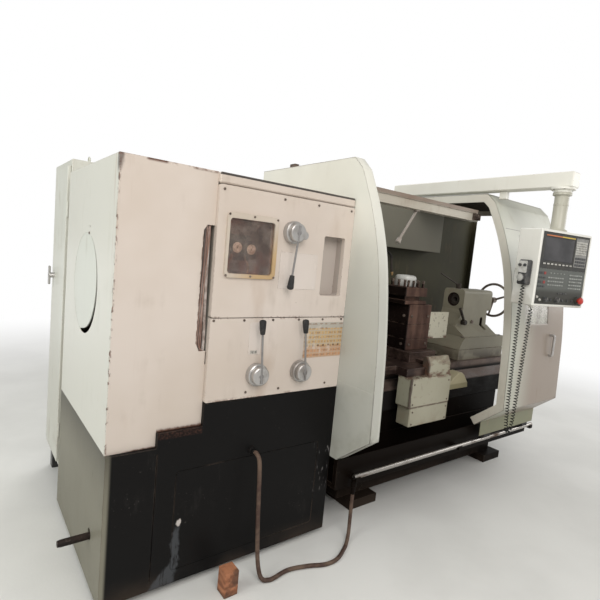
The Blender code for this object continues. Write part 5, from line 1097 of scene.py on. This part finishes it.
# Tool post: stacked blocks bolted to the cross slide, lighter brown with oil in front and their
# left faces painted near black as shade, the four-way turret with its clamp screws, and a white
# capped centre nut.
def post_marks(name, dark, light):
    look = Look(name, metallic=0.15, specular_ior_level=0.2)
    film = look.noise(5.0, 6.0, seed=1.0)
    runs = look.noise(16.0, 5.0, (1.0, 1.0, 0.12), seed=4.0)
    grit = look.noise(110.0, 3.0, seed=7.0)
    own = look.node("SeparateXYZ", {}, {0: look.node("TexCoord", output=1)}, 0)
    # Painted shade: faces turned to the left are made near black.
    left = look.step(own, -0.2, -0.8)
    colour = look.mix(look.step(film * 0.5 + runs * 0.5, 0.4, 0.62), dark, light)
    colour = look.mix(left * 0.95, colour, (0.005, 0.0028, 0.0026))
    colour = look.mix(look.step(grit + 0.25 * film, 0.76, 0.84) * 0.22, colour, (0.22, 0.16, 0.13))
    rub = look.step(look.edges(0.005), 0.02, 0.2) * look.step(runs, 0.4, 0.6)
    colour = look.mix(rub * 0.6, colour, (0.3, 0.225, 0.18))
    return look.finish(colour, 0.36 + 0.25 * film, grit * 0.4 + film, 0.001, 0.003)


POST_BROWN = post_marks("tool_post_oiled_iron", (0.06, 0.031, 0.024), (0.145, 0.082, 0.06))
coat("tool_column", POST_BROWN)
coat("turret", POST_BROWN)
SLIDE = "cross_slide_body"
front_bolts = screws([(x, 0.1997, z) for x in (2.155, 2.345) for z in (1.075, 1.285)], FRONT, 0.011)
side_bolts = screws([(2.1197, y, z) for y in (0.24, 0.46) for z in (1.075, 1.285)], LEFT, 0.011)
piece("tool_post_bolts", together(front_bolts, side_bolts), SCREW_DARK, SLIDE)
TURRET_X, TURRET_Y, TURRET_TOP = 2.19, 0.325, 1.4956
half, inset = 0.12, 0.017
sides = [np.array(((math.cos(a), -math.sin(a)), (math.sin(a), math.cos(a))))
         for a in (0.0, math.pi / 2, math.pi, 1.5 * math.pi)]
heads = [np.array((TURRET_X, TURRET_Y)) + turn @ (s, -half + inset) for turn in sides
         for s in (-0.085, -0.028, 0.028, 0.085)]
square = outline(-0.0078, 0.0078, -0.0078, 0.0078, 0.0015, 2)
clamp_heads = [together(lathe(((0.0, 0.0), (0.0105, 0.0), (0.0105, 0.006), (0.006, 0.0065), (0.0, 0.0065)),
                              (x, y, TURRET_TOP + 0.0298), UP, 14),
                        slab(square + (x, y), TURRET_TOP + 0.036, TURRET_TOP + 0.05, "z", 0.001)) for x, y in heads]
piece("turret_clamp_screws", together(*clamp_heads), SCREW_DARK, "turret_body")
cap_white = enamel("turret_cap_plastic", (0.6, 0.6, 0.575), (0.5, 0.48, 0.44), 0.45, 0.3, None, 0.2)
cap_profile = ((0.0, 0.0853), (0.03, 0.0853), (0.034, 0.0835), (0.054, 0.0835), (0.066, 0.08), (0.0745, 0.0745),
               (0.0785, 0.064), (0.0795, 0.052), (0.0775, 0.05), (0.0775, 0.046), (0.0795, 0.044), (0.0795, 0.003),
               (0.0, 0.0003))
piece("turret_cap_white", lathe(cap_profile, (TURRET_X, TURRET_Y, TURRET_TOP), UP, 56), cap_white, "turret_body",
      ["turret_cap"])
coolant_line = curve_through(((2.16, 0.6, 1.0317), (2.16, 0.6, 1.25), (2.16, 0.595, 1.5), (2.155, 0.57, 1.66),
                              (2.145, 0.5, 1.735), (2.12, 0.43, 1.71), (2.1, 0.4, 1.64), (2.1, 0.385, 1.575)), 12)
piece("coolant_hose_black", pipe(coolant_line, 0.0088, 16), WIPER, SLIDE, ["coolant_hose"])
nozzle_ends = np.linspace((2.1, 0.387, 1.592), (2.1, 0.3835, 1.5665), 6)
piece("coolant_nozzle", pipe(nozzle_ends, (0.0098, 0.0102, 0.0102, 0.0085, 0.0065, 0.006), 18), BRASS_TUBE, SLIDE)


def plate_marks(look, tone, worn, speck, patch):
    edge = look.step(look.z, 1.14, 1.115) * look.step(patch, 0.4, 0.55)
    spots = look.noise(45.0, 4.0, seed=51.0)
    tone = look.mix(look.step(spots, 0.6, 0.66) * 0.7, tone, (0.13, 0.085, 0.06))
    return tone, look.most(worn, edge)


coat("guard_plate", enamel("chip_plate_enamel", (0.62, 0.6, 0.49), (0.55, 0.52, 0.41), 0.5, 0.4, plate_marks, 0.8))


# Tailstock: grey green casting in two parts on the ways, with the ground quill in its bore, a
# hand wheel of bare iron worn bright on its rim, and two clamp levers dark with grease.
def tail_marks(look, tone, worn, speck, patch):
    mouth = look.maths("SQRT", look.maths("POWER", look.y - SPINDLE_Y, 2.0)
                       + look.maths("POWER", look.z - SPINDLE_Z, 2.0))
    # Painted shade: the bore's mouth round the quill and the slot in the body's front are made near black.
    bore = look.step(mouth, 0.0615, 0.06) * look.step(look.z, 1.3, 1.31)
    slot = look.near(look.x, 3.346, 0.022, 0.002) * look.near(look.z, 1.185, 0.056, 0.002)
    slot = slot * look.step(look.y, 0.366, 0.368)
    foot = look.step(look.z, 1.02, 0.92) * look.step(patch, 0.4, 0.56)
    tone = look.mix(foot * 0.7, tone, (0.085, 0.062, 0.045))
    dark = look.most(bore, slot)
    return look.mix(dark, tone, (0.03, 0.02, 0.016)), worn * look.maths("SUBTRACT", 1.0, dark)


tail_paint = enamel("tailstock_casting_enamel", (0.385, 0.355, 0.265), (0.305, 0.28, 0.205), 0.5, 0.45, tail_marks,
                    0.8, shine=0.3)
coat("tailstock_base", tail_paint)
coat("tailstock_body", tail_paint)
quill_profile = ((0.0, 0.35), (0.0445, 0.35), (0.045, 0.347), (0.045, 0.003), (0.042, 0.0), (0.0235, 0.0),
                 (0.0222, 0.002), (0.018, 0.08), (0.0, 0.08))
greasy_iron = oily_iron("greasy_iron", (0.03, 0.025, 0.021), (0.09, 0.075, 0.064), 0.2, 0.5)
piece("quill_ground", lathe(quill_profile, (3.06, SPINDLE_Y, SPINDLE_Z), RIGHT, 48), greasy_iron, "quill_body",
      ["quill"])
wheel_iron = oily_iron("hand_wheel_iron", (0.21, 0.165, 0.14), (0.42, 0.365, 0.325), 0.4, 0.4)
WHEEL, WHEEL_R, WHEEL_PITCH = np.array((3.69, SPINDLE_Y, SPINDLE_Z)), 0.155, 2 * np.pi / 32
turn = np.linspace(np.pi / 2, np.pi / 2 - 2 * np.pi, 14)
rim = lathe(np.column_stack((WHEEL_R + 0.0118 * np.cos(turn), 0.0118 * np.sin(turn))), WHEEL, RIGHT, 72)
hub = lathe(((0.0, 0.03), (0.018, 0.03), (0.02, 0.0285), (0.0275, 0.02), (0.028, 0.018), (0.028, -0.03),
             (0.0125, -0.0345), (0.0122, -0.035), (0.0122, -0.228), (0.0, -0.229)), WHEEL, RIGHT, 32)
spoke_angles = WHEEL_PITCH * np.array((3, 14, 25))
reach = np.linspace(0.0, WHEEL_R, 9)[:, None]
spokes = [pipe(WHEEL + reach * np.array((0.0, math.cos(a), math.sin(a))), np.linspace(0.011, 0.0088, 9), 14)
          for a in spoke_angles]
crank_angle = WHEEL_PITCH * 19
crank_foot = WHEEL + WHEEL_R * np.array((0.0, math.cos(crank_angle), math.sin(crank_angle)))
crank_grip = lathe(((0.0, 0.006), (0.006, 0.006), (0.0065, 0.014), (0.0078, 0.018), (0.0098, 0.045), (0.0096, 0.072),
                    (0.0075, 0.086), (0.004, 0.0898), (0.0, 0.0898)), crank_foot, RIGHT, 24)
piece("tail_hand_wheel", together(rim, hub, *spokes, crank_grip), wheel_iron, "handwheel_body",
      ["tail_handwheel"])
coat("quill_lock", greasy_iron)
coat("clamp_lever", greasy_iron)
foot_bolts = screws([(x, y, 1.0903) for x in (2.915, 3.49) for y in (0.255, 0.685)], UP, 0.011)
piece("tailstock_bolts", together(foot_bolts, screw((3.2, 0.3647, 1.2), FRONT, 0.016)), wheel_iron, "tailstock_main")


# Overhead arm and its pendant: square painted tube on a post behind the machine, a turned
# swivel column, and a sheet case with a dark screen unit over a grey operator panel.
arm_paint = enamel("pendant_arm_enamel", (0.8, 0.785, 0.715), (0.745, 0.725, 0.65), 0.15, 0.32, None, 0.25)
coat("pendant_arm", arm_paint)
column_profile = ((0.0, 2.2242), (0.0565, 2.2242), (0.058, 2.2225), (0.058, 2.208), (0.0565, 2.2064), (0.049, 2.2052),
                  (0.0445, 2.2002), (0.044, 2.196), (0.044, 2.15), (0.0455, 2.149), (0.0455, 2.14), (0.044, 2.139),
                  (0.044, 1.99), (0.047, 1.984), (0.0585, 1.9782), (0.06, 1.9765), (0.06, 1.9653), (0.0, 1.9653))
column_paint = enamel("swivel_column_enamel", (0.465, 0.45, 0.375), (0.41, 0.39, 0.32), 0.3, 0.32, None, 0.4)
COLUMN_X, COLUMN_Y = 2.7, -0.485
piece("swivel_column", lathe(column_profile, (COLUMN_X, COLUMN_Y, 0.0), UP, 48), column_paint, "pendant_body",
      ["pendant_column"])
flange_bolts = [(COLUMN_X + 0.0665 * math.cos(a), COLUMN_Y + 0.0665 * math.sin(a), 2.2429)
                for a in np.radians(np.arange(30, 390, 60))]
piece("swivel_flange_bolts", screws(flange_bolts, (0.0, 0.0, -1.0), 0.005), SCREW_DARK, "frame")


def case_marks(look, tone, worn, speck, patch):
    smudge = look.step(look.z, 1.8, 1.62) * look.step(patch, 0.5, 0.62)
    return look.mix(smudge * 0.3, tone, (0.36, 0.32, 0.26)), worn


case_paint = enamel("pendant_case_enamel", (0.8, 0.785, 0.73), (0.74, 0.72, 0.655), 0.15, 0.3, case_marks, 0.15)
coat("pendant_case", case_paint)
PENDANT = "pendant_body"


def turned_piece(name, shape, look, body=PENDANT, replaces=()):
    """Piece worked out square to the machine, then turned with the pendant."""
    return piece(name, (on_pendant(shape[0]), shape[1]), look, body, replaces)


PANEL_DARK = hose_look("panel_dark_plastic", (0.042, 0.042, 0.04), (0.075, 0.072, 0.066))
PANEL_MID = Look("panel_grey_plastic", specular_ior_level=0.3)
panel_soil = PANEL_MID.noise(30.0, 4.0)
upper_share = PANEL_MID.step(PANEL_MID.z, 1.555, 1.6)
PANEL_MID.finish(PANEL_MID.mix(upper_share, (0.05, 0.049, 0.042), (0.115, 0.122, 0.112)), 0.5 + 0.2 * panel_soil,
                 PANEL_MID.noise(200.0), 0.0002)
coat("screen_unit", PANEL_DARK)
coat("control_panel", PANEL_MID)
FACE_Y = -0.5638
screen = Look("screen_glass", roughness=0.12)
glare = screen.noise(6.0, 4.0)
screen.finish(screen.mix(screen.step(glare, 0.3, 0.7), (0.034, 0.033, 0.036), (0.062, 0.059, 0.063)),
              0.1 + 0.2 * glare)
glass = block((2.4915, 2.7885), (FACE_Y + 0.0015, FACE_Y + 0.0032), (1.7665, 1.9185), 0.006, "y", 0.0005)
turned_piece("screen_glass", glass, screen)


def plastic(name, first, second, rough=0.4):
    """Moulded plastic with hand grime worked into it."""
    look = Look(name)
    soil = look.noise(30.0, 4.0)
    return look.finish(look.mix(look.step(soil, 0.42, 0.68), first, second), rough + 0.2 * soil, look.noise(200.0),
                       0.0002)


strip_yellow = plastic("screen_strip_yellow", (0.6, 0.42, 0.045), (0.42, 0.27, 0.05))
strip_orange = plastic("screen_strip_orange", (0.5, 0.14, 0.03), (0.36, 0.11, 0.04))
key_pale = plastic("key_pale", (0.52, 0.51, 0.47), (0.34, 0.32, 0.28))
key_dark = plastic("key_dark", (0.035, 0.036, 0.038), (0.09, 0.085, 0.08))
key_red = plastic("key_red", (0.3, 0.035, 0.03), (0.2, 0.045, 0.035))
block_grey = plastic("key_block_grey", (0.25, 0.245, 0.23), (0.17, 0.165, 0.155), 0.45)
for side, span, look in (("left", (2.492, 2.65), strip_orange), ("right", (2.652, 2.788), strip_yellow)):
    strip = block(span, (FACE_Y - 0.0008, FACE_Y), (1.9245, 1.9325), 0.002, "y", 0.0002)
    turned_piece("screen_strip_" + side, strip, look)
turned_piece("key_block", block((2.803, 2.932), (FACE_Y - 0.0015, FACE_Y), (1.742, 1.936), 0.005, "y", 0.0005),
             block_grey)


def keys(xs, zs, width, height, front=FACE_Y, proud=0.003):
    """Rows and columns of small square keys, each a bevelled block."""
    u, v = width / 2, height / 2
    return together(*[block((x - u, x + u), (front - proud, front), (z - v, z + v), 0.0015, "y", 0.0006)
                      for x in xs for z in zs])


turned_piece("address_keys", keys(2.813 + 0.0163 * np.arange(7), 1.832 + 0.0152 * np.arange(6), 0.0125, 0.0112,
                                  FACE_Y - 0.0015), key_pale)
turned_piece("cursor_keys", keys(2.821 + 0.0232 * np.arange(5), (1.757, 1.779, 1.801), 0.0175, 0.015,
                                 FACE_Y - 0.0015), key_dark)
turned_piece("soft_keys", keys(2.505 + 0.0385 * np.arange(8), (1.7475,), 0.022, 0.0095), key_pale)
LEFT_KEYS = 2.478 + 0.0245 * np.arange(3)
turned_piece("panel_keys_dark", together(keys(LEFT_KEYS[:2], (1.628, 1.6865), 0.019, 0.016),
                                         keys(LEFT_KEYS, (1.6, 1.657), 0.019, 0.012)),
             key_dark)
turned_piece("panel_keys_red", keys(LEFT_KEYS[2:], (1.628, 1.6865), 0.019, 0.018), key_red)
label_grey = plastic("panel_label_grey", (0.33, 0.34, 0.32), (0.2, 0.205, 0.19))
rows_left = keys(2.572 + 0.0235 * np.arange(7), (1.612, 1.636, 1.66), 0.0175, 0.0085)
rows_right = keys(2.79 + 0.0235 * np.arange(6), (1.598, 1.62, 1.642, 1.664, 1.686), 0.0175, 0.0095)
top_marks = keys(2.585 + 0.034 * np.arange(5), (1.69,), 0.011, 0.006)
turned_piece("panel_keys_pale", together(rows_left, rows_right, top_marks), label_grey)
turned_piece("panel_mode_row", keys(2.69 + 0.026 * np.arange(4), (1.56,), 0.018, 0.01), key_dark)
button_profile = ((0.0, 0.008), (0.006, 0.007), (0.0085, 0.003), (0.009, 0.0), (0.0, 0.0))
DARK_BUTTONS = ((2.615, 1.515), (2.735, 1.515), (2.79, 1.515), (2.84, 1.515))
PALE_BUTTONS = ((2.478, 1.53), (2.508, 1.512))
for name, places, look, slot in (("round_push_buttons", DARK_BUTTONS, key_dark, "black_plastic"),
                                 ("pale_push_buttons", PALE_BUTTONS, key_pale, "panel_grey")):
    turned_piece(name, together(*[lathe(button_profile, (x, FACE_Y, z), FRONT, 20) for x, z in places]), look)
for number, x in ((1, 2.555), (2, 2.675)):
    coat(f"selector_knob_{number}", key_dark)
    mark = block((x - 0.0008, x + 0.0008), (FACE_Y - 0.025, FACE_Y - 0.024), (1.5165, 1.53), 0.0003, "y", 0.0002)
    turned_piece(f"knob_mark_{number}", mark, key_pale, f"knob_{number}_body")
red_gloss = plastic("stop_button_red", (0.5, 0.028, 0.018), (0.3, 0.035, 0.025), 0.25)
stop_profile = ((0.0, 0.0418), (0.006, 0.0417), (0.014, 0.0405), (0.0205, 0.037), (0.0232, 0.0325), (0.024, 0.028),
                (0.0232, 0.0242), (0.0215, 0.0222), (0.0134, 0.0202), (0.0134, 0.0082), (0.0, 0.0082))
STOP = (2.895, -0.5638, 1.52)
turned_piece("stop_button_head", lathe(stop_profile, STOP, FRONT, 40), red_gloss, "stop_button_body",
             ["stop_button"])
bright_chrome = Look("grab_handle_chrome", metallic=1.0)
print_marks = bright_chrome.noise(25.0, 4.0)
bright_chrome.finish(bright_chrome.mix(bright_chrome.step(print_marks, 0.45, 0.7), (0.7, 0.7, 0.7),
                                       (0.42, 0.39, 0.36)), 0.12 + 0.25 * print_marks)
half_grip = ((2.9603, 0.0), (2.971, 0.0), (2.983, 0.0), (2.995, 0.012), (2.995, 0.06))
grab_line = [(u, -0.505, 1.87 - drop) for u, drop in half_grip] + [(u, -0.505, 1.63 + drop) for u,
                                                                   drop in half_grip[::-1]]
turned_piece("grab_handle_bar", pipe(curve_through(grab_line, 8), 0.0069, 20), bright_chrome, PENDANT,
             ["grab_handle"])
coat("hand_unit", key_dark)
UNIT_X = 2.39
dial_disc = lathe(((0.0, 0.0178), (0.02, 0.0178), (0.0235, 0.016), (0.024, 0.016), (0.0, 0.0158)),
                  (UNIT_X, -0.5, 1.645), LEFT, 40)
dial_look = Look("hand_dial_face", roughness=0.35)
dial_y, dial_z = dial_look.y - (-0.4465), dial_look.z - 1.645
dial_turn = dial_look.maths("ARCTAN2", dial_y, dial_z) * (15 / math.pi)
dial_reach = dial_look.maths("SQRT", dial_y * dial_y + dial_z * dial_z)
dial_ticks = dial_look.near(dial_turn % 1.0, 0.5, 0.1, 0.05) * dial_look.near(dial_reach, 0.0185, 0.0022, 0.0006)
dial_look.finish(dial_look.mix(dial_ticks, (0.5, 0.49, 0.46), (0.03, 0.03, 0.03)), 0.3 + 0.2 * dial_look.noise(80.0))
turned_piece("hand_dial", dial_disc, dial_look)
label_white = plastic("hand_unit_pale", (0.62, 0.61, 0.58), (0.46, 0.44, 0.4))
turned_piece("hand_unit_plate", block((UNIT_X - 0.001, UNIT_X - 0.0002), (-0.531, -0.469), (1.676, 1.752), 0.005, "x",
                                      0.0002), label_white)


# Electrical cabinet behind the gear end: folded sheet on a low stand, one hinged door with a
# turning handle, two lifting eyes, and louvres punched in its back.
def cabinet_marks(look, tone, worn, speck, patch):
    stand = look.step(look.z, 0.201, 0.198)
    foot = look.step(look.z, 0.5, 0.2) * look.step(patch, 0.42, 0.6)
    tone = look.mix(foot * 0.4, tone, (0.3, 0.25, 0.19))
    return look.mix(stand, tone, (0.022, 0.021, 0.021)), worn


cabinet_paint = enamel("cabinet_enamel", (0.625, 0.63, 0.565), (0.565, 0.56, 0.49), 0.25, 0.34, cabinet_marks, 0.4)
coat("cabinet", cabinet_paint)
coat("cabinet_door", cabinet_paint)
coat("cabinet_handle", lever_steel)
louvres = [slab(outline(0.3, 0.82, z - 0.004, z + 0.004, 0.0035, 4), 1.6002, 1.6045, "y", 0.0015)
           for z in np.concatenate((0.55 + 0.03 * np.arange(8), 1.6 + 0.03 * np.arange(8)))]
piece("cabinet_louvres", together(*louvres), cabinet_paint, "frame")
BACK = (0.0, 1.0, 0.0)
cabinet_screws = [(x, 1.6002, z) for x in (0.06, 0.56, 1.06) for z in (0.26, 1.145, 2.03)]
piece("cabinet_back_screws", screws(cabinet_screws, BACK, 0.007), SCREW_DARK, "frame")
rear_screws = [(x, 0.8652, z) for x in (1.5, 1.9, 2.3, 3.0, 3.4, 3.7) for z in (0.38, 1.0, 2.1)]
piece("rear_guard_screws", screws(rear_screws, BACK, 0.007), SCREW_DARK, "frame")
